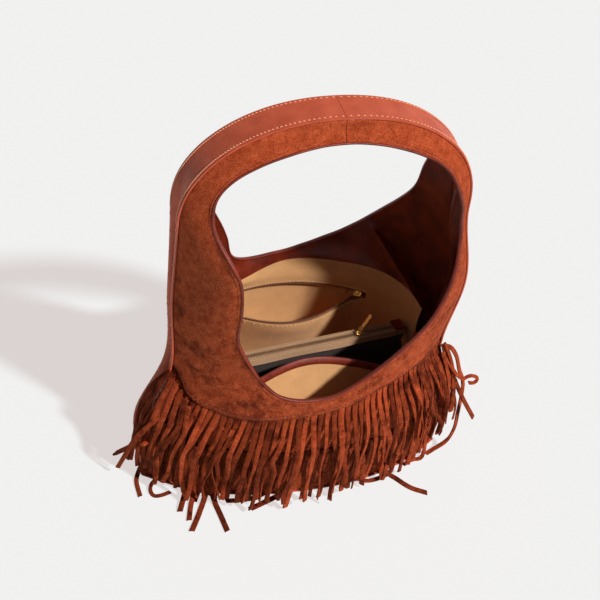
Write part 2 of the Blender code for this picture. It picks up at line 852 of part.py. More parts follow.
def lip_shape(x):
    """How far the open lip of the zip pocket swings and drops at x."""
    across = abs(x) / SLOT_HALF
    swing = LIP_SWING * max(1.0 - (across / LIP_OPEN) ** 2, 0.0) ** 1.15
    drop = LIP_DROP * float(ease((1.0 - across) / (1.0 - LIP_OPEN)))
    return swing, drop


def lip_foot(drop):
    """Height below the lip's zip tape where the lip starts to lean back."""
    return POCKET_ZIP_Z - CHAIN_HALF_GAP - TAPE_REACH - LINING_LAP - drop


def lip_heights(drop, low):
    """Heights of the back lining's rows below the pocket zip."""
    foot = lip_foot(drop)
    return [foot + (low - foot) * j / LINING_ROWS for j in range(LINING_ROWS + 1)]


def lip_y(x, z, low):
    """Back lining in plan at a height below the pocket zip, lip included."""
    swing, drop = lip_shape(x)
    heights = lip_heights(drop, low)[::-1]
    fades = [(h - low) / (heights[-1] - low) for h in heights]
    line = [back_lining_point(("arc", x), h)[1] - swing * f for h, f in zip(heights, fades)]
    if z > heights[-1]:
        return back_lining_point(("arc", x), z)[1] - swing
    return float(np.interp(z, heights, line))


def make_back_lining(low, cloth):
    """Back half of the lining bag, slit for the pocket zip, its lip hanging open."""
    columns = back_columns()[::-1]
    upper = POCKET_ZIP_Z + SLOT_UP
    lower = POCKET_ZIP_Z - SLOT_UP
    rows = LINING_ROWS + 5
    grid = np.zeros((len(columns), rows, 3))
    normals = np.zeros((len(columns), rows, 3))
    for k, column in enumerate(columns):
        drop = lip_shape(column[1])[1] if column[0] == "arc" else 0.0
        heights = [back_lining_top(column)[2], BACK_LINING_KNEE_Z, upper, lower - drop]
        heights += lip_heights(drop, low)
        for j, z in enumerate(heights):
            grid[k, j] = back_lining_point(column, z)
            if j >= 3 and column[0] == "arc":
                grid[k, j, 1] = lip_y(column[1], z, low)
    for j in range(rows):
        outer = offset_line(grid[::-1, j], CLOTH)[::-1]
        for k, flat in enumerate(outer):
            normals[k, j, :2] = flat - grid[k, j, :2]
    mask = np.ones((len(columns) - 1, rows - 1), bool)
    mask[CORNER_STEPS + 1 : CORNER_STEPS + 1 + SLOT_STEPS, 2] = False
    slab("back_lining", grid + normals, grid, cloth, mask)


def arc_line():
    """Plan line of the upper zip row, from left to right."""
    return [np.array([x, arc_y(x)]) for x in slot_stations()]


def lip_line():
    """Plan line of the lower zip row, from left to right."""
    return [np.array([x, arc_y(x) - lip_shape(x)[0]]) for x in slot_stations()]


def arc_frame(x):
    """Point of the zip arc in plan and its outward direction."""
    outward = unit(np.array([x, arc_y(x) - arc_apex() + ARC_RADIUS]))
    return np.array([x, arc_y(x)]), outward


def tape_profile(up):
    """Zip tape with its chain bead: (outward, upward) from the zip's centre line."""
    near = CHAIN_HALF_GAP * up
    far = (CHAIN_HALF_GAP + CHAIN_TALL) * up
    end = (CHAIN_HALF_GAP + TAPE_REACH) * up
    bead = CHAIN_THICK / 2.0
    web = TAPE / 2.0
    return (
        (-bead, near),
        (bead, near),
        (bead, far),
        (web, far),
        (web, end),
        (-web, end),
        (-web, far),
        (-bead, far),
    )


def tape_depth():
    """Distance from the lining's face to the middle of the tape behind it."""
    return CLOTH + GAP + TAPE / 2.0


def zip_row(name, line, drops, up, material):
    """One half of the pocket zip along a plan line."""
    lanes = {a: offset_line(line, tape_depth() + a) for a, _ in tape_profile(up)}
    sections = []
    for k in range(len(line)):
        section = []
        for a, b in tape_profile(up):
            lane = lanes[a]
            flat = lane[k]
            if k == 0:
                flat = flat + unit(lane[1] - lane[0]) * ZIP_END
            if k == len(line) - 1:
                flat = flat + unit(lane[-2] - lane[-1]) * ZIP_END
            section.append(np.array([flat[0], flat[1], POCKET_ZIP_Z + b - drops[k]]))
        sections.append(section)
    loft(name, sections, material)


def make_pocket_zip(tape):
    """Two halves of the pocket zip: one on the arc, one on the lip."""
    zip_row("pocket_zip_upper", arc_line(), [0.0] * (SLOT_STEPS + 1), 1.0, tape)
    drops = [lip_shape(x)[1] for x in slot_stations()]
    zip_row("pocket_zip_lower", lip_line(), drops, -1.0, tape)


def make_pouch(low, cloth):
    """Bag of the zip pocket: down behind the zip, and up behind the open lip."""
    near = tape_depth() + TAPE / 2.0 + GAP
    far = tape_depth() + CHAIN_THICK / 2.0 + SLIDER_CLEAR + SLIDER_PLATE + 2.0 * GAP
    top = offset_line(arc_line(), near)
    back = offset_line(arc_line(), far)
    front = offset_line(lip_line(), near + TAPE)
    stations = slot_stations()
    grid = np.zeros((SLOT_STEPS - 3, 10, 3))
    for k in range(2, SLOT_STEPS - 1):
        x = stations[k]
        rows = lip_heights(lip_shape(x)[1], low)
        turn_z = POUCH_LOW_Z + POUCH_TURN
        path = [(top[k], POCKET_ZIP_Z + TAPE_REACH)]
        path.append((back[k], POCKET_ZIP_Z + SLIDER_WIDE / 2.0 + 3.0 * GAP))
        for z in (0.5 * (POCKET_ZIP_Z + turn_z), turn_z):
            scale = back_lining_point(("arc", x), z)[1] / arc_y(x)
            path.append((back[k] * np.array([1.0, scale]), z))
        deep = path[-1][0][1]
        shallow = lip_y(x, turn_z, low) + CLOTH + TAPE + POUCH_CLEAR
        shallow = max(shallow, deep - POUCH_TURN)
        path.append((np.array([back[k][0], 0.5 * (deep + shallow)]), POUCH_LOW_Z))
        path.append((np.array([0.5 * (back[k][0] + front[k][0]), shallow]), turn_z))
        for z in (rows[2], rows[1]):
            wall = lip_y(x, z, low) + CLOTH + TAPE + POUCH_CLEAR
            path.append((np.array([front[k][0], wall]), z))
        path.append((front[k], rows[0]))
        path.append((front[k], rows[0] + 2.0 * LINING_LAP))
        for j, (flat, z) in enumerate(path):
            grid[k - 2, j] = (flat[0], flat[1], z)
    normals = grid_normals(grid, (0.0, 1.0, 0.0))
    normals *= np.sign(normals[len(grid) // 2, 2, 1])
    normals[:, 0, 2] = 0.0
    normals[:, -2:, 2] = 0.0
    slab("zip_pocket_pouch", grid, grid + normals * TAPE, cloth)


# Divider


def divider_along():
    """Direction of the divider's zip in plan."""
    return np.array([math.cos(DIVIDER_TURN), math.sin(DIVIDER_TURN), 0.0])


def divider_across():
    """Direction across the divider, towards the back."""
    return np.array([-math.sin(DIVIDER_TURN), math.cos(DIVIDER_TURN), 0.0])


def divider_point(along, across, z):
    """Point of the divider's own frame."""
    centre = np.array([0.0, DIVIDER_Y, 0.0])
    return centre + divider_along() * along + divider_across() * across + np.array([0, 0, z])


def inside_lining(x, y, z, clearance):
    """True where a point lies inside the lining by a clearance."""
    half = lining_half(z) - clearance
    if abs(x) >= half:
        return False
    if y < 0:
        return -y < -front_lining_point(x / half, z)[1] - clearance
    if abs(x) <= ARC_HALF:
        return y < back_lining_point(("arc", x), z)[1] - clearance
    for k in range(1, 30):
        a = back_lining_point(("corner", k / 30.0), z)
        if a[0] >= abs(x) + clearance:
            return y < a[1] - clearance
    return y < LINING_MEET


def divider_end(hand, z):
    """How far the divider reaches along its zip before it meets the lining."""
    reach = 0.050
    while reach < 0.150:
        for across in (-DIVIDER_HALF - CLOTH, DIVIDER_HALF + CLOTH):
            point = divider_point(hand * (reach + 0.001), across, z)
            if not inside_lining(point[0], point[1], z, DIVIDER_SIDE_GAP + CLOTH):
                return hand * reach
        reach += 0.001
    return hand * reach


def make_divider(low, cloth, tape, leather):
    """Zipped middle compartment: two walls, the two zip halves and the end tabs."""
    top = DIVIDER_Z - TAPE / 2.0 - GAP
    steps = 8
    for name, hand in (("divider_front", -1.0), ("divider_back", 1.0)):
        grid = np.zeros((steps + 1, 4, 3))
        for j in range(4):
            z = top + (low - top) * j / 3.0
            left = divider_end(-1, min(z, top))
            right = divider_end(1, min(z, top))
            spread = DIVIDER_FOOT_HALF + (DIVIDER_HALF - DIVIDER_FOOT_HALF) * (1.0 - j / 3.0)
            for k in range(steps + 1):
                along = left + (right - left) * k / steps
                grid[k, j] = divider_point(along, hand * (spread - CLOTH), z)
        shift = divider_across() * hand * CLOTH
        slab(name, grid + shift, grid, cloth)
    left = divider_end(-1, DIVIDER_Z)
    right = divider_end(1, DIVIDER_Z)
    for name, hand in (("divider_zip_front", -1.0), ("divider_zip_back", 1.0)):
        profile = divider_tape_profile(hand)
        sections = []
        for along in (left, right):
            sections.append([divider_point(along, a, DIVIDER_Z + b) for a, b in profile])
        loft(name, sections, tape)
    for name, along in (("divider_stop_left", left), ("divider_stop_right", right)):
        hand = math.copysign(1.0, along)
        centre = divider_point(along - hand * STOP_LONG / 2.0, 0.0, 0.0)
        lift = DIVIDER_Z + CHAIN_THICK / 2.0 + GAP + LEATHER / 2.0
        axes = (divider_along(), divider_across(), np.array([0.0, 0.0, 1.0]))
        size = (STOP_LONG, 2.0 * DIVIDER_HALF, LEATHER)
        box_at(name, centre + np.array([0.0, 0.0, lift]), axes, size, leather)
    return left, right


def divider_tape_profile(hand):
    """Flat zip tape with its chain bead along the slot."""
    near = CHAIN_HALF_GAP * hand
    far = (CHAIN_HALF_GAP + CHAIN_TALL) * hand
    end = DIVIDER_HALF * hand
    bead = CHAIN_THICK / 2.0
    web = TAPE / 2.0
    return (
        (near, -bead),
        (near, bead),
        (far, bead),
        (far, web),
        (end, web),
        (end, -web),
        (far, -web),
        (far, -bead),
    )


# Sliders and pulls


def make_slider(name, centre, along, across, up, metal):
    """Zip slider: two plates, the thin post between the rows, and a bail on top."""
    inner = CHAIN_THICK / 2.0 + SLIDER_CLEAR
    outer = inner + SLIDER_PLATE
    half = SLIDER_LONG / 2.0
    wide = SLIDER_WIDE / 2.0
    plan = ((-half, 0.6 * wide), (-0.5 * half, wide), (0.4 * half, wide), (half, 0.75 * wide))
    outline = [(a, -b) for a, b in plan] + list(plan[::-1])
    lap = SLIDER_PLATE / 2.0

    def plate(points, low, high):
        return [[centre + along * a + across * b + up * z for a, b in points] for z in (low, high)]

    def block(a0, a1, width, low, high):
        corners = ((a0, -width), (a1, -width), (a1, width), (a0, width))
        return plate(corners, low, high)

    post = 0.35 * SLIDER_LONG
    thick = BAIL_THICK / 2.0
    foot = BAIL_LONG / 2.0
    top = outer + BAIL_RISE
    pieces = [plate(outline, -outer, -inner), plate(outline, inner, outer)]
    pieces.append(block(-post, post, POST_THICK / 2.0, -inner - lap, inner + lap))
    pieces.append(block(-foot, -foot + BAIL_THICK, thick, outer - lap, top - lap))
    pieces.append(block(foot - BAIL_THICK, foot, thick, outer - lap, top - lap))
    pieces.append(block(-foot, foot, thick * 0.9, top - BAIL_THICK, top))
    return union(name, pieces, metal)


def union(name, pieces, material):
    """One body from blocks that overlap on purpose."""
    blocks = []
    for k, sections in enumerate(pieces):
        blocks.append(loft(name + "_block_" + str(k), sections, material))
    main = blocks[0]
    for block in blocks[1:]:
        modifier = main.modifiers.new("join", "BOOLEAN")
        modifier.operation = "UNION"
        modifier.object = block
    graph = bpy.context.evaluated_depsgraph_get()
    mesh = bpy.data.meshes.new_from_object(main.evaluated_get(graph))
    for block in blocks:
        bpy.data.objects.remove(block)
    obj = bpy.data.objects.new(name, mesh)
    bpy.context.scene.collection.objects.link(obj)
    return obj


def pin_height():
    """Height of the pull's pin above the middle of the chain."""
    under = CHAIN_THICK / 2.0 + SLIDER_CLEAR + SLIDER_PLATE
    return under + (BAIL_RISE - BAIL_THICK) / 2.0


def make_pull(name, pin, direction, across, length, metal):
    """Flat pull with an eye round the slider's bail; it turns on the eye's near end."""
    flat_way = np.cross(direction, across)
    wide = PULL_WIDE / 2.0
    eye = PULL_EYE_WIDE / 2.0
    near = PULL_PIN / 2.0
    stations = (
        (-near, wide * 0.9),
        (near, wide),
        (near + PULL_EYE_LONG, wide),
        (near + PULL_EYE_LONG + PULL_PIN, wide * 0.8),
        (length - PULL_WIDE / 4.0, wide),
        (length, wide * 0.7),
    )
    grid = np.zeros((len(stations), 4, 3))
    for i, (a, half) in enumerate(stations):
        for j, b in enumerate((-half, -eye, eye, half)):
            grid[i, j] = pin + direction * a + across * b
    mask = np.ones((len(stations) - 1, 3), bool)
    mask[1, 1] = False
    shift = flat_way * PULL_THICK / 2.0
    return slab(name, grid + shift, grid - shift, metal, mask)


def turn_about(obj, point):
    """Put an object's origin on the axis that it turns about."""
    obj.data.transform(Matrix.Translation(Vector([-float(c) for c in point])))
    obj.location = Vector([float(c) for c in point])


def hang_on(child, parent):
    """Parent one piece to another and leave it where it is."""
    child.parent = parent
    child.matrix_parent_inverse = Matrix.Translation(-parent.location)


# Slip pocket


def slip_back(x, z, drop):
    """Slip pocket's cloth where it lies against the front lining."""
    clear = SLIP_CLEAR + (SLIP_BIND_THICK + SLIP_BIND_GAP) * (1.0 - drop)
    return front_lining_point(x / lining_half(z), z)[1] + clear


def slip_point(t, drop):
    """Slip pocket's cloth: t runs from left to right, drop from its free edge to its foot."""
    x = SLIP_LEFT + (SLIP_RIGHT - SLIP_LEFT) * t
    arch = 1.0 - (2.0 * t - 1.0) ** 2
    edge = SLIP_END_Z + SLIP_RISE * arch
    z = edge + (SLIP_LOW_Z - edge) * drop
    gape = SLIP_GAPE * arch * (1.0 - drop) ** 1.3
    return np.array([x, slip_back(x, z, drop) + gape, z])


def make_slip_pocket(cloth, leather):
    """Open pocket on the front lining, its free edge bound in leather."""
    grid = np.zeros((SLIP_STEPS + 1, SLIP_ROWS + 1, 3))
    for k in range(SLIP_STEPS + 1):
        for j in range(SLIP_ROWS + 1):
            grid[k, j] = slip_point(k / SLIP_STEPS, j / SLIP_ROWS)
    normals = grid_normals(grid, (0.0, 1.0, 0.0))
    slab("slip_pocket", grid, grid + normals * CLOTH, cloth)
    near = -SLIP_BIND_GAP
    far = CLOTH + SLIP_BIND_GAP
    thick = SLIP_BIND_THICK
    profile = (
        (SLIP_BIND_TALL, near),
        (-SLIP_BIND_GAP, near),
        (-SLIP_BIND_GAP, far),
        (SLIP_BIND_TALL, far),
        (SLIP_BIND_TALL, far + thick),
        (-SLIP_BIND_GAP - thick, far + thick),
        (-SLIP_BIND_GAP - thick, near - thick),
        (SLIP_BIND_TALL, near - thick),
    )
    sections = []
    for k in range(SLIP_STEPS + 1):
        down = unit(grid[k, 1] - grid[k, 0])
        sections.append([grid[k, 0] + down * a + normals[k, 0] * b for a, b in profile])
    loft("slip_pocket_binding", sections, leather)


# Fringe


def hang_path(across, top, length, wave):
    """Centre line of a strand that hangs off the wall's furthest bulge above it."""
    start = seam_point(across, -1)
    belly = float(sway(HANG_Z)) + across * float(half_width(HANG_Z))
    out = level_normal(belly, HANG_Z, -1)
    side = np.array([-out[1], out[0], 0.0])
    points = []
    reach = 0.0
    for j in range(UPPER_ROWS + 1):
        s = j / UPPER_ROWS
        z = top - length * s
        wall = wall_point(float(sway(z)) + across * float(half_width(z)), z, -1)
        reach = max(reach, float(np.dot(wall - start, out)))
        lift = reach + UPPER_HANG * float(ease(2.2 * s)) + wave[0] * math.sin(math.pi * s)
        drift = float(np.dot(wall - start, side)) + wave[1] * math.sin(0.5 * math.pi * s)
        place = start + out * lift + side * drift
        points.append((np.array([place[0], place[1], z]), out, side))
    return points


def make_upper_fringe(ring, normals, material):
    """Curtain of strands cut from one strip that is sewn under the yoke's edge."""
    dice = random.Random(5)
    under = SUEDE + GAP
    across = bottom_across(-1)
    strands = BOTTOM_STEPS * STRANDS_PER_PANEL
    rows = UPPER_ROWS + 3
    outer = np.zeros((2 * strands, rows, 3))
    inner = np.zeros((2 * strands, rows, 3))
    middle = first_bottom() + BOTTOM_STEPS // 2
    pitch = np.linalg.norm(ring[middle + 1, 0, :2] - ring[middle, 0, :2]) / STRANDS_PER_PANEL
    half = 0.5 * (pitch - STRAND_GAP)
    half_u = half / (pitch * STRANDS_PER_PANEL)
    for k in range(strands):
        u = (k + 0.5) / STRANDS_PER_PANEL
        place = float(np.interp(u, range(BOTTOM_STEPS + 1), across))
        top = yoke_z(place) - STRAND_GAP
        length = min(UPPER_LENGTH * dice.uniform(0.94, 1.03), top - UPPER_TIP_Z)
        wave = (STRAND_WAVE * dice.uniform(-0.2, 1.2), STRAND_WAVE * math.sin(0.8 * k))
        path = hang_path(place, top, length, wave)
        for c, hand in ((2 * k, -1.0), (2 * k + 1, 1.0)):
            column = first_bottom() + u + hand * half_u
            for j, row in enumerate((HEADER_TALL / YOKE_LAP, 0.0)):
                point = on_grid(ring, column, row)
                normal = on_grid(normals, column, row)
                outer[c, j] = point - normal * under
                inner[c, j] = point - normal * (under + STRAND_THICK)
            for j, (centre, out, side) in enumerate(path):
                sunk = (under + STRAND_THICK / 2.0) * (1.0 - float(ease(2.2 * j / UPPER_ROWS)))
                spot = centre - out * sunk - side * hand * half
                if j == 0:
                    spot = 0.5 * (outer[c, 1] + inner[c, 1]) - np.array([0, 0, STRAND_GAP])
                outer[c, j + 2] = spot + out * STRAND_THICK / 2.0
                inner[c, j + 2] = spot - out * STRAND_THICK / 2.0
    mask = np.ones((2 * strands - 1, rows - 1), bool)
    mask[1::2, 1:] = False
    slab("fringe_upper", outer, inner, material, mask)


def lower_path(across, floor_length, turn):
    """Centre line of a lower strand: down the wall, and a long one out along the floor."""
    floor_z = FLOOR_CLEAR + STRAND_THICK / 2.0
    x = float(sway(LOWER_Z)) + across * float(half_width(LOWER_Z))
    out = level_normal(x, LOWER_Z, -1)
    side = np.array([-out[1], out[0], 0.0])
    start = wall_point(x, LOWER_Z, -1) + out * (HEADER_GAP + STRAND_THICK / 2.0)
    heading = out * math.cos(turn) + side * math.sin(turn)
    drop = LOWER_Z - floor_z - FLOOR_BEND
    bend = 0.5 * math.pi * FLOOR_BEND
    length = LOWER_Z - LOWER_TIP_Z if floor_length <= 0 else drop + bend + floor_length
    points = []
    for j in range(LOWER_ROWS + 1):
        s = length * j / LOWER_ROWS
        base = start + out * LOWER_HANG * float(ease(s / drop))
        angle = min(max((s - drop) / FLOOR_BEND, 0.0), math.pi / 2.0)
        if floor_length <= 0:
            angle = 0.0
        run = max(s - drop - bend, 0.0) if floor_length > 0 else 0.0
        fall = min(s, drop) if floor_length > 0 else s
        place = base + heading * (FLOOR_BEND * (1.0 - math.cos(angle)) + run)
        place[2] -= fall + FLOOR_BEND * math.sin(angle)
        ahead = heading * math.sin(angle) + np.array([0.0, 0.0, -math.cos(angle)])
        points.append((place, ahead, out, side))
    return points


def make_lower_fringe(material):
    """Sparser curtain below the first, whose long strands bend out along the floor."""
    columns = 2 * LOWER_STRANDS
    rows = LOWER_ROWS + 2
    outer = np.zeros((columns, rows, 3))
    inner = np.zeros((columns, rows, 3))
    longs = {index: (length, turn) for index, length, turn in LONG_STRANDS}
    for k in range(LOWER_STRANDS):
        across = LOWER_REACH * (2.0 * (k + 0.5) / LOWER_STRANDS - 1.0)
        length, turn = longs.get(k, (0.0, 0.0))
        path = lower_path(across, length, turn)
        for c, hand in ((2 * k, -1.0), (2 * k + 1, 1.0)):
            for j, (centre, ahead, out, side) in enumerate(path):
                level = unit(np.cross(np.array([0.0, 0.0, 1.0]), ahead)) if abs(ahead[2]) < 0.5 else side
                if np.dot(level, side) < 0:
                    level = -level
                face = unit(np.cross(ahead, level))
                if np.dot(face, out + np.array([0.0, 0.0, 1.0])) < 0:
                    face = -face
                place = centre + level * hand * LOWER_WIDTH / 2.0
                outer[c, j + 1] = place + face * STRAND_THICK / 2.0
                inner[c, j + 1] = place - face * STRAND_THICK / 2.0
            lift = np.array([0.0, 0.0, HEADER_TALL])
            outer[c, 0] = outer[c, 1] + lift
            inner[c, 0] = inner[c, 1] + lift
    mask = np.ones((columns - 1, rows - 1), bool)
    mask[1::2, 1:] = False
    slab("fringe_lower", outer, inner, material, mask)


# Sliders in place


def make_divider_slider(brass):
    """Slider of the divider's zip, its pull standing up."""
    up = np.array([0.0, 0.0, 1.0])
    centre = divider_point(DIVIDER_SLIDER_AT, 0.0, DIVIDER_Z)
    slider = make_slider("divider_slider", centre, divider_along(), divider_across(), up, brass)
    direction = divider_along() * math.cos(DIVIDER_PULL_LIFT) + up * math.sin(DIVIDER_PULL_LIFT)
    pin = centre + up * pin_height()
    pull = make_pull("divider_pull", pin, direction, divider_across(), PULL_LONG, brass)
    turn_about(slider, centre)
    turn_about(pull, pin)
    hang_on(pull, slider)


def make_pocket_slider(brass):
    """Slider of the open pocket zip, at the right end of the arc."""
    up = np.array([0.0, 0.0, 1.0])
    flat, outward = arc_frame(SLOT_HALF - ZIP_END - SLIDER_LONG / 2.0)
    spot = flat + outward * tape_depth()
    centre = np.array([spot[0], spot[1], POCKET_ZIP_Z])
    inward = np.array([-outward[0], -outward[1], 0.0])
    along = np.array([outward[1], -outward[0], 0.0])
    slider = make_slider("pocket_slider", centre, along, up, inward, brass)
    pin = centre + inward * pin_height()
    pull = make_pull("pocket_pull", pin, -along, up, POCKET_PULL_LONG, brass)
    turn_about(slider, np.array([0.0, arc_apex() - ARC_RADIUS, POCKET_ZIP_Z]))
    turn_about(pull, pin)
    hang_on(pull, slider)


# Materials


def material(name, colour, roughness, metallic=0.0):
    """Principled material of one colour."""
    made = bpy.data.materials.new(name)
    made.use_nodes = True
    shader = made.node_tree.nodes["Principled BSDF"]
    shader.inputs["Base Color"].default_value = (*colour, 1.0)
    shader.inputs["Roughness"].default_value = roughness
    shader.inputs["Metallic"].default_value = metallic
    return made


def clear_scene():
    """Start from an empty scene."""
    for obj in list(bpy.data.objects):
        bpy.data.objects.remove(obj)


def build():
    """Model the whole bag."""
    clear_scene()
    suede = material("suede", (0.31, 0.065, 0.023), 0.92)
    smooth = material("smooth_leather", (0.39, 0.085, 0.036), 0.38)
    inside = material("inner_leather", (0.21, 0.035, 0.014), 0.42)
    lining = material("lining_twill", (0.60, 0.38, 0.17), 0.85)
    tape = material("zip_tape", (0.50, 0.29, 0.13), 0.75)
    brass = material("brass", (0.63, 0.43, 0.17), 0.30, 1.0)
    board = material("stiffener", (0.30, 0.24, 0.17), 0.90)

    front, front_normals = make_yoke("front_panel", -1, suede)
    back, back_normals = make_yoke("back_panel", 1, suede)
    make_body("front_body", front, front_normals, -1, suede)
    make_body("back_body", back, back_normals, 1, suede)
    make_binding("front_mouth_binding", front, front_normals, smooth)
    make_binding("back_mouth_binding", back, back_normals, smooth)
    make_facing("front_facing", front, front_normals, -1, inside)
    make_facing("back_facing", back, back_normals, 1, inside)
    make_gusset("right", 1.0, smooth, inside)
    make_gusset("left", -1.0, smooth, inside)
    low = make_base(smooth, board, lining)
    make_front_lining(low, lining)
    make_back_lining(low, lining)
    make_pocket_zip(tape)
    make_pouch(low, lining)
    make_divider(low, lining, tape, smooth)
    make_slip_pocket(lining, smooth)
    make_upper_fringe(front, front_normals, suede)
    make_lower_fringe(suede)
    make_divider_slider(brass)
    make_pocket_slider(brass)


build()
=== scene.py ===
"""Looks of the fringed suede shoulder bag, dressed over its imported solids.

Metres, +Z up. The front faces -Y. The curves are those of the solids, with more
divisions and with the folds, dents, stitches and curled strands that they leave out.
"""

import math
import random

import bmesh
import bpy
import numpy as np
from mathutils import Matrix, Vector


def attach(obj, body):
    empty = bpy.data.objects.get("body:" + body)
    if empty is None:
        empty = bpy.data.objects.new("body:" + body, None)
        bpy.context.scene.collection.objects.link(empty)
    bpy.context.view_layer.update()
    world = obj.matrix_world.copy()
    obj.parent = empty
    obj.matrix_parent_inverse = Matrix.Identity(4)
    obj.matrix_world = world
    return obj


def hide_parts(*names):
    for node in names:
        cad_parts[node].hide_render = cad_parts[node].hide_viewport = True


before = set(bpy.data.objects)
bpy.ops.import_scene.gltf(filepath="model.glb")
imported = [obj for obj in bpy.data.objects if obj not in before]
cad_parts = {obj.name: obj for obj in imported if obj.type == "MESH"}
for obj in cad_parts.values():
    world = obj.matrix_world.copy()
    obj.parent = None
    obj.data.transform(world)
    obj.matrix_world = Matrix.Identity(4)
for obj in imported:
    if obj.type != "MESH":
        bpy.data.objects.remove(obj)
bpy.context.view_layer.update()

# Thicknesses of leather, cloth and tape, and the gap between two layers
SUEDE = 0.0014
LEATHER = 0.0012
FACING = 0.0010
CLOTH = 0.0008
TAPE = 0.0006
GAP = 0.0003

# Half width of the bag seen from the front, by height, and the arch of its handle
WAIST_Z = 0.200
SHOULDER_Z = 0.290
HANDLE_HALF = 0.125
HALF_WIDTHS = ((0.0, 0.143), (0.050, 0.147), (0.120, 0.127), (WAIST_Z, 0.133), (SHOULDER_Z, HANDLE_HALF))
ARCH_RISE = 0.0938
ARCH_POWER = 2.15
TOP_Z = SHOULDER_Z + ARCH_RISE

# How far the slumped bag leans to one side, by height
SWAYS = ((0.0, 0.0), (0.100, 0.002), (WAIST_Z, 0.007), (SHOULDER_Z, -0.003), (TOP_Z, -0.001))

# Gusset strip: its flat width, and how far its two edges are pinched together
STRIP_WIDTH = 0.032
PINCH_HALF = 0.0090
PINCH_Z = 0.205
UNPINCHED_Z = 0.330
SEAM_ALLOWANCE = 0.0032

# Swell of the walls away from the gusset seams. For the front (-1) and the back (1):
# how far it reaches, the height where it is gone, and how late it goes
BELLY_Z = 0.130
BASE_SWELL = 0.0435
BACK_SWELL = 0.082
SWELLS = {-1: (0.060, 0.3765, 3.5), 1: (BACK_SWELL, 0.350, 2.15)}
FLAT_BLEND = 0.0030
LOW_PLAN_POWER = 2.5
HIGH_PLAN_POWER = 4.0
PLAN_EASE_Z = 0.150
PLAN_EASE_FROM_Z = 0.120
# How far past the gusset seam a wall's curve is followed
PAST_SEAM = 1.3

# Mouth openings, two upright ovals whose sides slide along the front as they go down
MOUTH_HALF = 0.1030
MOUTH_MIDDLE_Z = 0.3145
MOUTH_TOP_Z = 0.3675
MOUTH_LOW_Z = {-1: 0.1290, 1: 0.1622}
MOUTH_LEAN = -0.013
MOUTH_LEAN_Z = 0.270
MOUTH_LEAN_EASE = 0.120
MOUTH_CORNER = math.radians(-44.0)
MOUTH_SHOULDER = math.radians(5.0)
MOUTH_SLIDE_EASE = 0.3
# How far the mouth's left and right sides slide, by height
MOUTH_LEFT = {
    -1: ((0.160, 0.0), (0.190, -0.001), (0.223, 0.008), (0.260, 0.013), (0.305, -0.001)),
    1: ((0.165, 0.0), (0.200, 0.009), (0.235, 0.010), (0.270, 0.005), (0.300, 0.0)),
}
MOUTH_RIGHT = {
    -1: ((0.145, 0.0), (0.197, 0.0190), (0.260, 0.0208), (0.295, 0.0132), (0.330, 0.001)),
    1: ((0.165, -0.003), (0.220, -0.002), (0.270, 0.002), (0.300, 0.0)),
}
# Rise and dip of a mouth's bottom edge, from -1 at its left to 1 at its right
MOUTH_DIP = {
    -1: ((-0.75, 0.0), (-0.35, -0.0045), (0.0, 0.0)),
    1: ((-0.80, 0.0), (-0.42, -0.0075), (0.0, 0.004), (0.35, 0.006), (1.0, 0.0)),
}

# Seam between the yoke round the mouth and the body panel below it: its height
# at places across the front, from -1 at the left gusset to 1 at the right one
YOKE_LINE = (
    (-1.0, 0.131), (-0.9, 0.112), (-0.7, 0.105), (-0.3, 0.107),
    (0.1, 0.116), (0.4, 0.129), (0.7, 0.136), (1.0, 0.135),
)
YOKE_LAP = 0.0065
LAP_FADE = 0.018
# Rows of the yoke's grid from its outer edge, at 0, to its lap over the body, at 1
LAP_ROWS = (0.0, 0.35, 0.7, 1.0)
LAP = len(LAP_ROWS) - 1

# Leather facing inside the mouth, and the lining that hangs from it
FACING_INSET = 0.0040
FRONT_LINING_TOP = 0.1200
FRONT_LINING_SLOPE = 0.10
# Height of the back lining's top edge, from the left side to the right
BACK_LINING_RIM = (
    (-0.120, 0.146), (-0.040, 0.147), (0.010, 0.160), (0.050, 0.161), (0.090, 0.163), (0.115, 0.160),
)
FRONT_LINING_DEPTH = 0.0075
BACK_LINING_DEPTH = 0.0110
BACK_LINING_TOP_DEPTH = 0.0050
BACK_LINING_KNEE_Z = 0.140
BACK_LINING_EASE = 0.020
LINING_SIDE = 0.0085
LINING_POWER = 3.2
LINING_MEET = 0.0004
LINING_FLOOR_Z = 0.0053

# Base panel
BASE_THICK = 0.0016
BASE_RIM = 0.0006

# Zip pocket in the back lining: an arc of zip, open, with its lip hanging forward
ARC_RADIUS = 0.1360
ARC_HALF = 0.084
CORNER_PULL = 0.62
SLOT_HALF = 0.078
POCKET_ZIP_Z = 0.130
SLOT_UP = 0.0038
LIP_SWING = 0.045
LIP_DROP = 0.0055
LIP_OPEN = 0.88
LIP_POWER = 1.15
POUCH_LOW_Z = 0.036
POUCH_TURN = 0.008
POUCH_CLEAR = 0.0015
LINING_LAP = 0.0020
TAPE_DEPTH = CLOTH + GAP + TAPE / 2.0

# Zip chain and slider
CHAIN_HALF_GAP = 0.0006
CHAIN_TALL = 0.0017
CHAIN_THICK = 0.0020
TAPE_REACH = 0.0075
TAPE_EDGE = 0.6 * CHAIN_TALL
SLIDER_WIDE = 0.0064
SLIDER_PLATE = 0.0009
SLIDER_CLEAR = 0.00035
TOOTH_PITCH = 0.0011
TOOTH_WIDE = 0.40
CHAIN_MIDDLE = CHAIN_HALF_GAP + CHAIN_TALL / 2.0
# Sections of a tooth: place across the chain, size
TOOTH = ((-0.5, 0.55), (-0.35, 1.0), (0.35, 1.0), (0.5, 0.55))

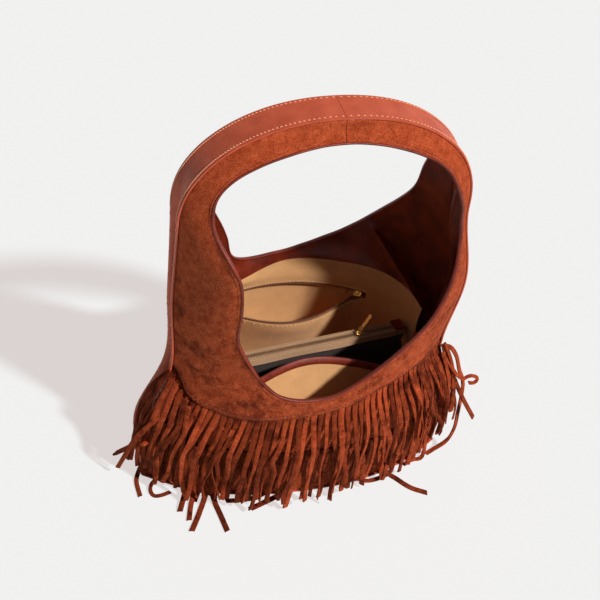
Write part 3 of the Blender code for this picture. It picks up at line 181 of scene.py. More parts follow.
# Zipped divider across the middle
DIVIDER_Z = 0.126
DIVIDER_Y = 0.0025
DIVIDER_TURN = math.radians(8.0)
DIVIDER_ALONG = np.array([math.cos(DIVIDER_TURN), math.sin(DIVIDER_TURN), 0.0])
DIVIDER_ACROSS = np.array([-math.sin(DIVIDER_TURN), math.cos(DIVIDER_TURN), 0.0])
DIVIDER_HALF = 0.0062
DIVIDER_FOOT_HALF = 0.0032
DIVIDER_SIDE_GAP = 0.0012
DIVIDER_LEAN = 0.0045
DIVIDER_SLACK = 0.0011
# Where its end is looked for along the zip: from, to, step
DIVIDER_REACH = (0.050, 0.150, 0.001)
# A low ridge where each tape leaves its chain, and the ribs of its weave
TAPE_RIDGE = 0.00030
TAPE_RIDGE_AT = 0.0026
TAPE_RIDGE_EASE = 0.0008
TAPE_RIB = 0.00006
TAPE_RIB_TURNS = 5200.0
# Its outer edge: where it folds down, how far, and how it ripples
TAPE_FOLD_AT = 0.0060
TAPE_FOLD_LONG = 0.0110
TAPE_FOLD_OPEN = 0.45
BACK_TAPE_FOLD_OPEN = 0.25
TAPE_RIPPLE = 0.0004
TAPE_RIPPLE_TURNS = 85.0
TAPE_RIPPLE_AT = 0.004

# Slip pocket on the front lining
SLIP_LEFT = -0.078
SLIP_RIGHT = 0.090
SLIP_END_Z = 0.112
SLIP_RISE = 0.015
SLIP_LOW_Z = 0.030
SLIP_GAPE = 0.045
SLIP_GAPE_POWER = 1.3
SLIP_ROW_POWER = 1.15
SLIP_CLEAR = 0.0012
SLIP_SLACK = 0.0012
SLIP_BIND_GAP = 0.0008
SLIP_BIND_TALL = 0.0054
SLIP_BIND_THICK = 0.0010

# Fringe: a curtain from the yoke's seam, and a sparser one with its own header lower down
STRAND_THICK = 0.0012
STRAND_GAP = 0.0009
STRAND_CUP = 0.10
STRAND_DRIFT = 0.0058
STRAND_CURL = 0.0013
STRAND_LOW_Z = 0.0016
STRAND_SHARP = 42.0
STRAND_STATION = 0.0042
STRAND_CUT = 0.3
# A strand turns its flat side up where it lies: below this height, over this height
LIE_FROM_Z = 0.016
LIE_EASE = 0.014
STRANDS_PER_PANEL = 3
FRINGE_PANELS = 16
UPPER_LENGTH = 0.094
UPPER_HANG = 0.0068
UPPER_TIP_Z = 0.0185
HANG_Z = 0.085
# The curtain's strands lie over and under each other: depth of each layer
LAYERS = (0.0, 2.0, 1.0, 2.4, 0.3, 1.4)
STRAND_DEPTH = 0.0016
LAYER_DEPTH = 0.0024
LAYER_SPREAD = 0.0014
# From where, and over how much of the front, strands are messier: at both ends, to the right
END_FROM, END_SPAN = 0.55, 0.45
MESSY_FROM, MESSY_SPAN = 0.05, 0.6
# At the far left they fall outward
LEFT_FALL, LEFT_FROM, LEFT_SPAN = 0.0075, 0.62, 0.35
# Ranges of the draws: length, place of the tip, curl, start of the turn, place of a kink, width, cut
LENGTHS = (0.98, 1.13)
TIPS = (0.15, 0.80)
CURLS = (0.5, 1.7)
LATES = (0.0, 0.35)
KINKS = (0.35, 0.85)
WIDTHS = (0.58, 0.82)
CUTS = (-0.5, 0.5)
LEAN_KEPT = 0.55
TURN_SPREAD = 32.0
WILD_TURN = 62.0
WILD_SHARE = 0.20
KINK_KICK = 0.0016
KINK_SPAN = 0.16
# Row of the ring's grid where the strands are caught, between its outer edge and the lap
CAUGHT_ROW = 2.2
LOWER_STRANDS = 22
LOWER_WIDTH = 0.0058
LOWER_Z = 0.060
LOWER_END_Z = 0.0052
LOWER_SWAY = 0.0045
LOWER_WAVE = 0.0016
LOWER_TURN = 22.0
LOWER_CUTS = (-0.3, 0.3)
LOWER_NARROW = 0.86
# Shares of a strand's length at which the points of the lower layer are set
STRAND_POINTS = (0.3, 0.6, 0.85, 1.0)
# Strands of the lower layer near the corners: where they start under the yoke, and ranges of draws
CORNER_DROP = 0.012
CORNER_SHIFTS = (0.001, 0.008)
CORNER_ENDS = (0.003, 0.020)
CORNER_WIDTHS = (0.70, 0.90)
LOWER_REACH = 0.92
HEADER_TALL = 0.0050
HEADER_GAP = 0.0007
FLOOR_CLEAR = 0.0004
# Corners of a strand's section: place across, place through
STRAND_SECTION = (
    (-1.0, 0.5), (-0.45, 0.5), (0.45, 0.5), (1.0, 0.5),
    (1.0, -0.5), (0.45, -0.5), (-0.45, -0.5), (-1.0, -0.5),
)

# Divisions of the sheets and of the strands, finer than those of the solids
FINE_STEPS = 40
CORNER_TRIES = 30
ARCH_STEPS = 36
LEG_STEPS = 28
BOTTOM_STEPS = 96
RING_ROWS = 16
BODY_ROWS = 14
LINING_ROWS = 14
ROWS_ABOVE_ZIP = 6
SLOT_STEPS = 48
CORNER_STEPS = 10
SLIP_STEPS = 44
SLIP_ROWS = 14
DIVIDER_STEPS = 60
DIVIDER_ROWS = 14
DIVIDER_TAPE_STEPS = 70
DIVIDER_TAPE_ROWS = 22
TAPE_ROWS = 8
POUCH_ROWS = 40
POUCH_BACK_ROW = 6
UPPER_ROWS = 12
UPPER_STATIONS = 26
LOWER_STATIONS = 20
HEADER_STATIONS = 90
GUSSET_COLUMNS = 25
SEAM_GAP = 0.0005
# First column of a ring grid that lies on the yoke seam, and all such columns
FIRST_BOTTOM = ARCH_STEPS + LEG_STEPS
BOTTOM = slice(FIRST_BOTTOM, FIRST_BOTTOM + BOTTOM_STEPS + 1)

# Soft shapes of the leather and the cloth
WALL_ROLL = 0.0011
WALL_CREASE = 0.00030
FACING_ROLL = 0.0009
LINING_SLACK = 0.0019
# Folds of the lining run long downward
FOLD_STRETCH = 0.35
EDGE_SINK = 0.00035
# How far the rows at the yoke's two edges sink, as a share of that
EDGE_SINKS = {0: 1.0, 1: 0.15, -1: 1.1, -2: 0.25}

# Stitches: pitch and thread of each kind of seam, and how far in from its edge it runs
GUSSET_SEAM = (0.00375, 0.00096)
YOKE_SEAM = (0.0030, 0.00066)
MOUTH_SEAM = (0.0028, 0.00040)
SLIP_SEAM = (0.0030, 0.00048)
ZIP_SEAM = (0.0030, 0.00070)
RIM_SEAM = (0.0030, 0.00045)
TAPE_SEAM = (0.0026, 0.00045)
GUSSET_STITCH_IN = 0.0031
# It stays within this share of a narrow gusset's width
GUSSET_STITCH_SHARE = 0.3
MOUTH_STITCH_IN = 0.0030
YOKE_STITCH_ROWS = (0.26, 0.82)
TAPE_STITCH_ROWS = (0.26, 0.48)
ZIP_STITCH_IN = 0.0016
RIM_STITCH_IN = 0.0022
STITCH_SHARE = 0.74
# Sections of a stitch: place along, rise, width
STITCH = ((-0.5, -0.45, 0.35), (-0.34, 0.25, 0.9), (0.0, 0.5, 1.0), (0.34, 0.25, 0.9), (0.5, -0.45, 0.35))
SIX = [math.pi * k / 3.0 for k in range(6)]

# Pushed-in and puffed-out places: x, z, half length, half width, turn, depth
DENTS = {
    -1: (
        (-0.088, 0.272, 0.036, 0.011, math.radians(80.0), 0.0042),
        (-0.108, 0.302, 0.030, 0.006, math.radians(-70.0), -0.0024),
        (-0.099, 0.262, 0.020, 0.008, math.radians(60.0), 0.0018),
        (-0.086, 0.158, 0.012, 0.009, 0.4, -0.0018),
        (-0.070, 0.141, 0.010, 0.006, -0.3, -0.0016),
        (-0.098, 0.172, 0.010, 0.008, 0.9, 0.0016),
        (-0.060, 0.128, 0.016, 0.006, 0.2, 0.0016),
        (0.108, 0.190, 0.030, 0.007, math.radians(80.0), -0.0020),
        (0.100, 0.150, 0.020, 0.008, math.radians(60.0), 0.0016),
    ),
    1: (
        (-0.106, 0.290, 0.026, 0.007, math.radians(-75.0), -0.0020),
        (0.000, 0.140, 0.050, 0.012, 0.1, -0.0020),
        (0.108, 0.220, 0.028, 0.008, math.radians(80.0), -0.0018),
        (-0.060, 0.100, 0.030, 0.010, 0.5, 0.0018),
    ),
}

# Where the inner layer's strands hang near the lower corners
CORNER_PLACES = (
    -0.985, -0.95, -0.91, -0.87, -0.83, -0.79, -0.74, -0.69, -0.63, -0.57,
    0.62, 0.70, 0.78, 0.86, 0.92, 0.975,
)

# Strands placed one by one: width, facing, roll at both ends, and x, y, z of each point,
# widths and points in tenths of a millimetre. First the long lower ones on the floor.
TENTHS = 10000.0
FLOOR_STRANDS = (
    (42, (-0.55, -0.8, 0.2), (0.2, -0.3), (-1300, -300, 800, -1330, -300, 660, -1383, -275, 440,
     -1449, -215, 222, -1486, -190, 50, -1512, -266, 12, -1509, -438, 12)),
    (36, (-0.45, -0.85, 0.2), (0.4, 0.1), (-1153, -400, 817, -1176, -410, 683, -1211, -400, 460,
     -1274, -350, 218, -1373, -323, 50, -1406, -384, 20, -1386, -450, 12, -1317, -457, 12,
     -1231, -432, 12)),
    (38, (-0.3, -0.9, 0.25), (0.3, -0.2), (-1034, -500, 500, -1034, -490, 367, -1052, -470, 240,
     -1096, -425, 120, -1165, -390, 70, -1241, -350, 100)),
    (50, (-0.3, -0.92, 0.22), (-0.3, 0.1), (-1078, -455, 772, -1083, -475, 653, -1084, -485, 505,
     -1083, -470, 270, -1103, -490, 70, -1191, -674, 12)),
    (48, (-0.25, -0.93, 0.2), (0.5, 0.0), (-1050, -494, 643, -1049, -505, 507, -1044, -505, 300,
     -1036, -520, 80, -1080, -628, 12, -1129, -787, 12)),
    (42, (-0.3, -0.92, 0.2), (-0.6, -0.1), (-928, -539, 500, -935, -535, 373, -954, -510, 195,
     -993, -510, 30, -1035, -583, 12)),
    (50, (-0.25, -0.94, 0.2), (0.2, 0.0), (-911, -567, 528, -907, -565, 375, -908, -550, 202,
     -970, -627, 20, -1045, -765, 12, -1132, -914, 12)),
    (50, (-0.2, -0.95, 0.2), (-0.2, 0.0), (-900, -575, 605, -893, -580, 460, -889, -575, 300,
     -872, -560, 100, -850, -650, 12, -832, -800, 12, -815, -968, 12)),
    (44, (-0.1, -0.97, 0.2), (0.4, 0.0), (-300, -655, 300, -341, -650, 150, -462, -650, 50,
     -606, -640, 20, -752, -620, 14)),
    (50, (-0.05, -0.98, 0.2), (-0.3, 0.0), (-129, -678, 330, -168, -665, 170, -253, -645, 30,
     -402, -695, 12, -549, -750, 12)),
    (40, (0.5, -0.85, 0.2), (0.3, 0.0), (1245, -375, 420, 1262, -370, 240, 1275, -375, 90,
     1237, -410, 20, 1150, -410, 12, 1040, -460, 12)),
    (50, (0.25, -0.94, 0.2), (-0.4, 0.0), (708, -637, 503, 745, -605, 345, 787, -570, 155,
     863, -560, 20, 911, -607, 12, 1017, -746, 12, 1156, -837, 12)),
    (42, (0.2, -0.95, 0.2), (0.5, 0.2), (883, -540, 200, 875, -560, 70, 789, -575, 14,
     639, -615, 30, 500, -650, 120)),
)
# Then those that leave the curtain
LOOSE_STRANDS = (
    (44, (-0.75, -0.65, 0.2), (0.1, 0.5), (-1255, -180, 1288, -1362, -175, 1145, -1412, -150, 920,
     -1438, -120, 770, -1468, -60, 600)),
    (40, (-0.8, -0.55, 0.2), (-0.2, 0.6), (-1250, -170, 1270, -1390, -110, 1040, -1484, -40, 700,
     -1502, -111, 600, -1488, -210, 640, -1450, -265, 740)),
    (44, (-0.65, -0.7, 0.3), (0.1, -0.4), (-1230, -215, 1220, -1300, -240, 1010, -1380, -265, 900,
     -1425, -273, 790, -1490, -200, 560, -1540, -50, 270, -1661, 96, 30)),
    (38, (-0.6, -0.75, 0.2), (0.3, 0.9), (-1260, -230, 1080, -1320, -240, 863, -1363, -245, 750,
     -1397, -250, 625, -1430, -255, 530, -1485, -290, 540, -1510, -230, 500)),
    (48, (-0.6, -0.78, 0.2), (0.0, 0.5), (-1240, -205, 1240, -1350, -240, 1000, -1420, -230, 700,
     -1462, -210, 420)),
    (48, (-0.55, -0.8, 0.2), (0.1, -0.6), (-1215, -240, 1210, -1300, -300, 950, -1375, -305, 640,
     -1410, -300, 330)),
    (46, (-0.85, -0.45, 0.2), (0.0, 0.4), (-1255, -150, 1290, -1395, -80, 1050, -1475, -30, 740,
     -1505, 0, 380)),
    (46, (0.45, -0.85, 0.3), (0.2, -0.2), (1300, -180, 1310, 1334, -210, 1200, 1483, -220, 878,
     1575, -300, 690, 1690, -400, 500)),
    (42, (0.7, -0.6, 0.3), (0.2, 0.6), (1310, -190, 1290, 1400, -165, 1230, 1490, -150, 1090,
     1560, -140, 900, 1620, -180, 728, 1580, -290, 450, 1575, -310, 280, 1533, -310, 120,
     1410, -320, 30, 1309, -360, 14)),
    (44, (0.6, -0.75, 0.25), (-0.3, 0.6), (1310, -190, 1320, 1375, -230, 1180, 1440, -250, 980,
     1490, -270, 720, 1500, -290, 500)),
    (48, (-0.6, -0.78, 0.2), (0.2, -0.4), (-1235, -230, 1190, -1335, -280, 900, -1400, -290, 560,
     -1440, -270, 200)),
    (48, (-0.5, -0.85, 0.2), (-0.2, 0.5), (-1190, -290, 1130, -1260, -350, 850, -1320, -360, 540,
     -1345, -345, 220)),
    (48, (-0.45, -0.88, 0.2), (0.3, -0.2), (-1150, -330, 1100, -1200, -395, 820, -1240, -405, 520,
     -1280, -390, 180)),
    (46, (-0.8, -0.55, 0.2), (-0.1, 0.3), (-1255, -130, 1270, -1380, -100, 980, -1490, -130, 600,
     -1490, -150, 250)),
    (46, (-0.4, -0.9, 0.2), (0.1, 0.5), (-1120, -370, 1050, -1150, -430, 780, -1165, -445, 460,
     -1190, -430, 150)),
    (34, (0.3, -0.7, 0.65), (0.0, 0.3), (1330, -230, 1180, 1450, -270, 1000, 1527, -300, 939,
     1587, -300, 971, 1660, -300, 949, 1680, -300, 902, 1650, -300, 870, 1598, -300, 880)),
    (48, (0.55, -0.8, 0.2), (0.1, -0.7), (1290, -230, 1250, 1370, -280, 1000, 1440, -290, 700,
     1480, -280, 350)),
)


# Curves of the bag


def ease(value):
    """Smooth step from 0 to 1."""
    t = np.clip(value, 0.0, 1.0)
    return t * t * (3.0 - 2.0 * t)


def steps(start, end, count):
    """Places from start to end in equal steps, both included."""
    return [start + (end - start) * k / count for k in range(count + 1)]


def through(z, stations):
    """Smooth curve through (height, value) stations, level at both ends."""
    heights = np.array([s[0] for s in stations])
    values = np.array([s[1] for s in stations])
    slopes = np.gradient(values, heights)
    slopes[0] = 0.0
    slopes[-1] = 0.0
    z = np.clip(z, heights[0], heights[-1])
    k = np.clip(np.searchsorted(heights, z, side="right") - 1, 0, len(heights) - 2)
    span = heights[k + 1] - heights[k]
    t = (z - heights[k]) / span
    rise = t * t * (3.0 - 2.0 * t)
    start_tangent = t * (1.0 - t) ** 2 * span * slopes[k]
    end_tangent = t * t * (t - 1.0) * span * slopes[k + 1]
    return values[k] + rise * (values[k + 1] - values[k]) + start_tangent + end_tangent


def half_width(z):
    """Half width of the outline at height z."""
    t = np.clip((z - SHOULDER_Z) / ARCH_RISE, 0.0, 1.0)
    arch = HANDLE_HALF * np.maximum(1.0 - t**ARCH_POWER, 1e-9) ** (1.0 / ARCH_POWER)
    return np.where(z < SHOULDER_Z, through(z, HALF_WIDTHS), arch)


def sway(z):
    """Sideways lean of the bag's centre line at height z."""
    return through(z, SWAYS)


def outline_x(across, z):
    """Place at height z, across running from -1 at the left outline to 1 at the right."""
    return float(sway(z)) + across * float(half_width(z))


def seam_half(z):
    """Half the distance between the front and back gusset seams."""
    pinch = STRIP_WIDTH / 2.0 - PINCH_HALF
    below = ease(z / PINCH_Z)
    above = 1.0 - ease((z - PINCH_Z) / (UNPINCHED_Z - PINCH_Z))
    return STRIP_WIDTH / 2.0 - pinch * np.where(z < PINCH_Z, below, above)


def fold_depth(z):
    """Depth of the gusset's inward fold, from its constant flat width."""
    flat = STRIP_WIDTH / 2.0 - SEAM_ALLOWANCE
    half = seam_half(z) - SEAM_ALLOWANCE
    return np.sqrt(np.maximum(flat**2 - half**2, 0.0))


def swell(z, side):
    """Swell of a wall at its middle."""
    full, flat_z, power = SWELLS[side]
    rise = np.sin(0.5 * np.pi * np.clip(z / BELLY_Z, 0.0, 1.0))
    fall = full * (1.0 - np.maximum((z - BELLY_Z) / (flat_z - BELLY_Z), 0.0) ** power)
    settled = 0.5 * (fall + np.hypot(fall, FLAT_BLEND))
    return np.where(z < BELLY_Z, BASE_SWELL + (full - BASE_SWELL) * rise, settled)


def plan_power(z):
    """How square the bag is in plan."""
    return LOW_PLAN_POWER + (HIGH_PLAN_POWER - LOW_PLAN_POWER) * ease((z - PLAN_EASE_FROM_Z) / PLAN_EASE_Z)


# Soft relief of the walls, which the solids leave out


def waves(seed, count, size):
    """Random plane waves: radians per metre along both axes, phase and share of each."""
    dice = random.Random(seed)
    made = []
    for _ in range(count):
        turn = dice.uniform(0.0, math.pi)
        length = size * dice.uniform(0.7, 1.6)
        k = 2.0 * math.pi / length
        made.append((k * math.cos(turn), k * math.sin(turn), dice.uniform(0, 6.28), dice.uniform(0.5, 1.0)))
    total = sum(w[3] for w in made)
    return [(a, b, c, d / total) for a, b, c, d in made]


def rolling(field, u, v):
    """Smooth random height from -1 to 1."""
    return sum(d * np.sin(a * u + b * v + c) for a, b, c, d in field)


BROAD = waves(3, 7, 0.075)
SMALL = waves(8, 9, 0.026)
CLOTH_FOLDS = waves(21, 6, 0.060)


def dents(x, z, side):
    """Pushed-in and puffed-out places of a wall."""
    total = 0.0
    for cx, cz, long, short, turn, depth in DENTS[side]:
        a = (x - cx) * math.cos(turn) + (z - cz) * math.sin(turn)
        b = (z - cz) * math.cos(turn) - (x - cx) * math.sin(turn)
        total = total + depth * np.exp(-((a / long) ** 2) - (b / short) ** 2)
    return total


def relief(x, z, side):
    """Outward shift of a wall's face."""
    across = np.clip(np.abs(x - sway(z)) / half_width(z), 0.0, 1.0)
    fade = 1.0 - across**5
    # The two walls take different parts of the same waves
    shift = WALL_ROLL * rolling(BROAD, x, z + 0.3 * side)
    shift = shift + WALL_CREASE * rolling(SMALL, x, z + 0.7 * side)
    return (shift + dents(x, z, side)) * fade


def wall_y(x, z, side):
    """Outer face of the front (side -1) or back (side 1) wall."""
    across = np.clip(np.abs(x - sway(z)) / half_width(z), 0.0, PAST_SEAM)
    plain = seam_half(z) + swell(z, side) * (1.0 - across ** plan_power(z))
    return side * (plain + relief(x, z, side))


def wall_point(x, z, side):
    """Point of a wall's outer face."""
    return np.array([x, float(wall_y(x, z, side)), z])


def unit(vector):
    """Vector of length one."""
    return vector / max(np.linalg.norm(vector), 1e-12)


def unit_grid(vectors):
    """Rows of vectors, each of length one."""
    return vectors / np.maximum(np.linalg.norm(vectors, axis=-1, keepdims=True), 1e-12)


def upward(z):
    """Vector straight up."""
    return np.array([0.0, 0.0, z])


def bell(count):
    """Half a sine wave in count places: nought at both ends, one in the middle."""
    return np.sin(np.linspace(0.0, math.pi, count))


def run_lengths(line):
    """Length of a line from its start to each of its points."""
    return np.concatenate([[0.0], np.cumsum(np.linalg.norm(np.diff(line, axis=0), axis=1))])


def resample(line, count):
    """Line of points in count equal steps."""
    line = np.asarray(line, float)
    length = run_lengths(line)
    places = np.linspace(0.0, length[-1], count)
    return np.stack([np.interp(places, length, line[:, c]) for c in range(line.shape[1])], axis=1)


def wall_normal(x, z, side):
    """Outward unit normal of a wall's outer face."""
    step = 0.0005
    across = float(wall_y(x + step, z, side) - wall_y(x - step, z, side)) / (2.0 * step)
    up = float(wall_y(x, z + step, side) - wall_y(x, z - step, side)) / (2.0 * step)
    return unit(np.array([-across * side, side, -up * side]))


def level_normal(x, z, side):
    """Outward normal of a wall, laid level."""
    return unit(wall_normal(x, z, side) * np.array([1.0, 1.0, 0.0]))


def yoke_z(across):
    """Height of the yoke seam, across running from -1 to 1."""
    return float(through(across, YOKE_LINE))


def seam_point(across, side):
    """Point of the yoke seam."""
    z = yoke_z(across)
    return wall_point(outline_x(across, z), z, side)


def bottom_across(side):
    """Divisions of the yoke seam from right to left, equally long in plan."""
    fine = np.linspace(1.0, -1.0, 6 * FINE_STEPS + 1)
    line = np.array([seam_point(a, side) for a in fine])
    length = run_lengths(line[:, :2])
    return np.interp(np.linspace(0.0, length[-1], BOTTOM_STEPS + 1), length, fine)


def outline_xz(heights):
    """Right half of the gusset seam seen from the front, from the top down to its heights."""
    points = []
    for i in range(ARCH_STEPS):
        angle = 0.5 * math.pi * (1.0 - i / ARCH_STEPS)
        x = HANDLE_HALF * max(math.cos(angle), 0.0) ** (2.0 / ARCH_POWER)
        z = SHOULDER_Z + ARCH_RISE * math.sin(angle) ** (2.0 / ARCH_POWER)
        points.append((x, z))
    return points + [(float(half_width(z)), z) for z in heights]


def leg_heights(low):
    """Heights of the leg's divisions, from the shoulder down to low."""
    return steps(SHOULDER_Z, low, LEG_STEPS)


def mouth_xz(angle, side):
    """Mouth edge seen from the front, at an angle from its middle."""
    across = math.cos(angle)
    up = math.sin(angle)
    reach = MOUTH_TOP_Z if up > 0 else 2.0 * MOUTH_MIDDLE_Z - MOUTH_LOW_Z[side]
    z = MOUTH_MIDDLE_Z + (reach - MOUTH_MIDDLE_Z) * up
    z += float(through(across, MOUTH_DIP[side])) * float(ease(-2.0 * up))
    slide = float(through(z, MOUTH_RIGHT[side] if across > 0 else MOUTH_LEFT[side]))
    lean = MOUTH_LEAN * float(ease((MOUTH_LEAN_Z - z) / MOUTH_LEAN_EASE))
    share = float(ease(abs(across) / MOUTH_SLIDE_EASE))
    return MOUTH_HALF * across + float(sway(z)) + lean + slide * share, z


def mouth_angles():
    """Angles of the mouth's divisions: down the right, across the bottom, up the left."""
    angles = steps(math.pi / 2.0, MOUTH_SHOULDER, ARCH_STEPS)[:-1]
    angles += steps(MOUTH_SHOULDER, MOUTH_CORNER, LEG_STEPS)[:-1]
    mirrored = [-math.pi - a for a in angles[::-1]]
    turn = -math.pi - 2.0 * MOUTH_CORNER
    return angles + [MOUTH_CORNER + turn * k / BOTTOM_STEPS for k in range(BOTTOM_STEPS + 1)] + mirrored


def grid_normals(grid, outward):
    """Unit normals of a grid's points, turned so that the middle one faces outward."""
    normals = unit_grid(np.cross(np.gradient(grid, axis=0), np.gradient(grid, axis=1)))
    middle = normals.shape[0] // 2, normals.shape[1] // 2
    if np.dot(normals[middle], outward) < 0:
        normals = -normals
    return normals


def on_grid(grid, u, v):
    """Point of a grid by straight lines between its nearest points."""
    i = min(int(u), grid.shape[0] - 2)
    j = min(int(v), grid.shape[1] - 2)
    a = u - i
    b = v - j
    near = grid[i, j] * (1 - b) + grid[i, j + 1] * b
    far = grid[i + 1, j] * (1 - b) + grid[i + 1, j + 1] * b
    return near * (1 - a) + far * a


def offset_line(points, distance):
    """Open plan line moved sideways by distance, to its left."""
    points = [np.array(p[:2], float) for p in points]
    moved = []
    for i, point in enumerate(points):
        before = unit(point - points[i - 1]) if i > 0 else None
        after = unit(points[i + 1] - point) if i < len(points) - 1 else None
        before = after if before is None else before
        after = before if after is None else after
        left = unit(before + after)
        left = np.array([-left[1], left[0]])
        spread = max(np.dot(left, np.array([-before[1], before[0]])), 0.5)
        moved.append(point + left * distance / spread)
    return moved


def ring_line(side):
    """Outer edge of the yoke: down the right leg, along the seam, up the left leg."""
    right, left = [outline_xz(leg_heights(yoke_z(end))) for end in (1.0, -1.0)]
    line = [(x + float(sway(z)), z) for x, z in right]
    line += [tuple(seam_point(across, side)[[0, 2]]) for across in bottom_across(side)[1:-1]]
    return line + [(float(sway(z)) - x, z) for x, z in left[::-1]]


def body_heights(across):
    """Heights of the body panel's rows, from the yoke seam to the base."""
    return steps(yoke_z(across), BASE_THICK + GAP, BODY_ROWS)


def lining_half(z):
    """Half width of the lining bag at height z."""
    return float(half_width(z) - fold_depth(z)) - LINING_SIDE


def front_lining_point(across, z):
    """Front lining, from -1 to 1 between its side seams."""
    reach = float(seam_half(z) + swell(z, -1)) - FRONT_LINING_DEPTH
    y = LINING_MEET + (reach - LINING_MEET) * (1.0 - abs(across) ** LINING_POWER)
    return np.array([across * lining_half(z), -y, z])


def arc_apex():
    """How far back the pocket zip's arc reaches."""
    return float(seam_half(BELLY_Z)) + BACK_SWELL - BACK_LINING_DEPTH


def arc_y(x):
    """Pocket zip's arc in plan."""
    return arc_apex() - ARC_RADIUS + math.sqrt(ARC_RADIUS**2 - x * x)


def back_columns():
    """Plan positions of the back lining: (kind, value) from the left side to the right."""
    left = [("corner", -k / CORNER_STEPS) for k in range(CORNER_STEPS, 0, -1)]
    right = [("corner", k / CORNER_STEPS) for k in range(1, CORNER_STEPS + 1)]
    slots = [("arc", x) for x in slot_stations()]
    return left + [("arc", -ARC_HALF)] + slots + [("arc", ARC_HALF)] + right


def slot_stations():
    """Places along the pocket zip, from the left end to the right."""
    return [SLOT_HALF * (2.0 * k / SLOT_STEPS - 1.0) for k in range(SLOT_STEPS + 1)]


def back_lining_point(column, z):
    """Back lining before its lip swings forward."""
    reach = float(seam_half(z) + swell(z, 1)) - BACK_LINING_DEPTH
    spread = BACK_LINING_DEPTH - BACK_LINING_TOP_DEPTH
    spread *= float(ease((z - BACK_LINING_KNEE_Z) / BACK_LINING_EASE))
    scale = min(reach / arc_apex(), 1.0) + spread / arc_apex()
    kind, value = column
    if kind == "arc":
        return np.array([value, arc_y(value) * scale, z])
    hand = math.copysign(1.0, value)
    t = abs(value)
    start = np.array([ARC_HALF, arc_y(ARC_HALF) * scale])
    end = np.array([lining_half(z), LINING_MEET])
    control = np.array([lining_half(z), CORNER_PULL * start[1]])
    x, y = (1 - t) ** 2 * start + 2 * t * (1 - t) * control + t * t * end
    return np.array([hand * x, y, z])


def front_lining_top(across):
    """Point of the front lining's top edge."""
    z = FRONT_LINING_TOP + FRONT_LINING_SLOPE * across * lining_half(FRONT_LINING_TOP)
    return front_lining_point(across, z)


def back_lining_top(column):
    """Point of the back lining's top edge."""
    flat = back_lining_point(column, BACK_LINING_KNEE_Z)
    return back_lining_point(column, float(through(flat[0], BACK_LINING_RIM)))


def lining_rim(side):
    """Top edge of one half of the lining in equal steps, from right to left."""
    if side < 0:
        line = [front_lining_top(a) for a in np.linspace(1.0, -1.0, 4 * FINE_STEPS + 1)]
    else:
        corner = [("corner", k / FINE_STEPS) for k in range(FINE_STEPS, 0, -1)]
        arc = [("arc", x) for x in np.linspace(ARC_HALF, -ARC_HALF, 2 * FINE_STEPS + 1)]
        mirrored = [(kind, -t) for kind, t in corner[::-1]]
        line = [back_lining_top(column) for column in corner + arc + mirrored]
    return resample(line, BOTTOM_STEPS + 1)


def gusset_frames(hand):
    """Stations down one gusset: a point of the seam line and the inward direction."""
    heights = leg_heights(yoke_z(hand)) + body_heights(hand)[1:]
    points = outline_xz(heights)
    line = [np.array([hand * x + float(sway(z)), 0.0, z]) for x, z in points]
    frames = []
    for i, point in enumerate(line):
        along = unit(line[min(i + 1, len(line) - 1)] - line[max(i - 1, 0)])
        inward = unit(np.array([hand * along[2], 0.0, -hand * along[0]]))
        if i == 0:
            inward = upward(-1.0)
            point = point + np.array([hand * GAP / 2.0, 0.0, 0.0])
        if i == len(line) - 1:
            inward = np.array([-hand, 0.0, 0.0])
        frames.append((point, inward))
    return frames


def lip_shape(x):
    """How far the open lip of the zip pocket swings and drops at x."""
    across = abs(x) / SLOT_HALF
    swing = LIP_SWING * max(1.0 - (across / LIP_OPEN) ** 2, 0.0) ** LIP_POWER
    drop = LIP_DROP * float(ease((1.0 - across) / (1.0 - LIP_OPEN)))
    return swing, drop


def lip_heights(drop, low):
    """Heights of the back lining's rows, from below the lip's zip tape down to low."""
    return steps(POCKET_ZIP_Z - CHAIN_HALF_GAP - TAPE_REACH - LINING_LAP - drop, low, LINING_ROWS)


def lip_y(x, z, low):
    """Back lining in plan at a height below the pocket zip, lip included."""
    swing, drop = lip_shape(x)
    heights = lip_heights(drop, low)[::-1]
    fades = [(h - low) / (heights[-1] - low) for h in heights]
    line = [back_lining_point(("arc", x), h)[1] - swing * f for h, f in zip(heights, fades)]
    if z > heights[-1]:
        return back_lining_point(("arc", x), z)[1] - swing
    return float(np.interp(z, heights, line))


def arc_line():
    """Plan line of the upper zip row, from left to right."""
    return [np.array([x, arc_y(x)]) for x in slot_stations()]


def lip_line():
    """Plan line of the lower zip row, from left to right."""
    return [np.array([x, arc_y(x) - lip_shape(x)[0]]) for x in slot_stations()]


def divider_point(along, across, z):
    """Point of the divider's own frame."""
    centre = np.array([0.0, DIVIDER_Y, 0.0])
    return centre + DIVIDER_ALONG * along + DIVIDER_ACROSS * across + upward(z)


def inside_lining(x, y, z, clearance):
    """True where a point lies inside the lining by a clearance."""
    half = lining_half(z) - clearance
    if abs(x) >= half:
        return False
    if y < 0:
        return -y < -front_lining_point(x / half, z)[1] - clearance
    if abs(x) <= ARC_HALF:
        return y < back_lining_point(("arc", x), z)[1] - clearance
    for k in range(1, CORNER_TRIES):
        a = back_lining_point(("corner", k / CORNER_TRIES), z)
        if a[0] >= abs(x) + clearance:
            return y < a[1] - clearance
    return y < LINING_MEET


def divider_end(hand, z):
    """How far the divider reaches along its zip before it meets the lining."""
    reach, furthest, step = DIVIDER_REACH
    while reach < furthest:
        for across in (-DIVIDER_HALF - CLOTH, DIVIDER_HALF + CLOTH):
            point = divider_point(hand * (reach + step), across, z)
            if not inside_lining(*point[:2], z, DIVIDER_SIDE_GAP + CLOTH):
                return hand * reach
        reach += step
    return hand * reach


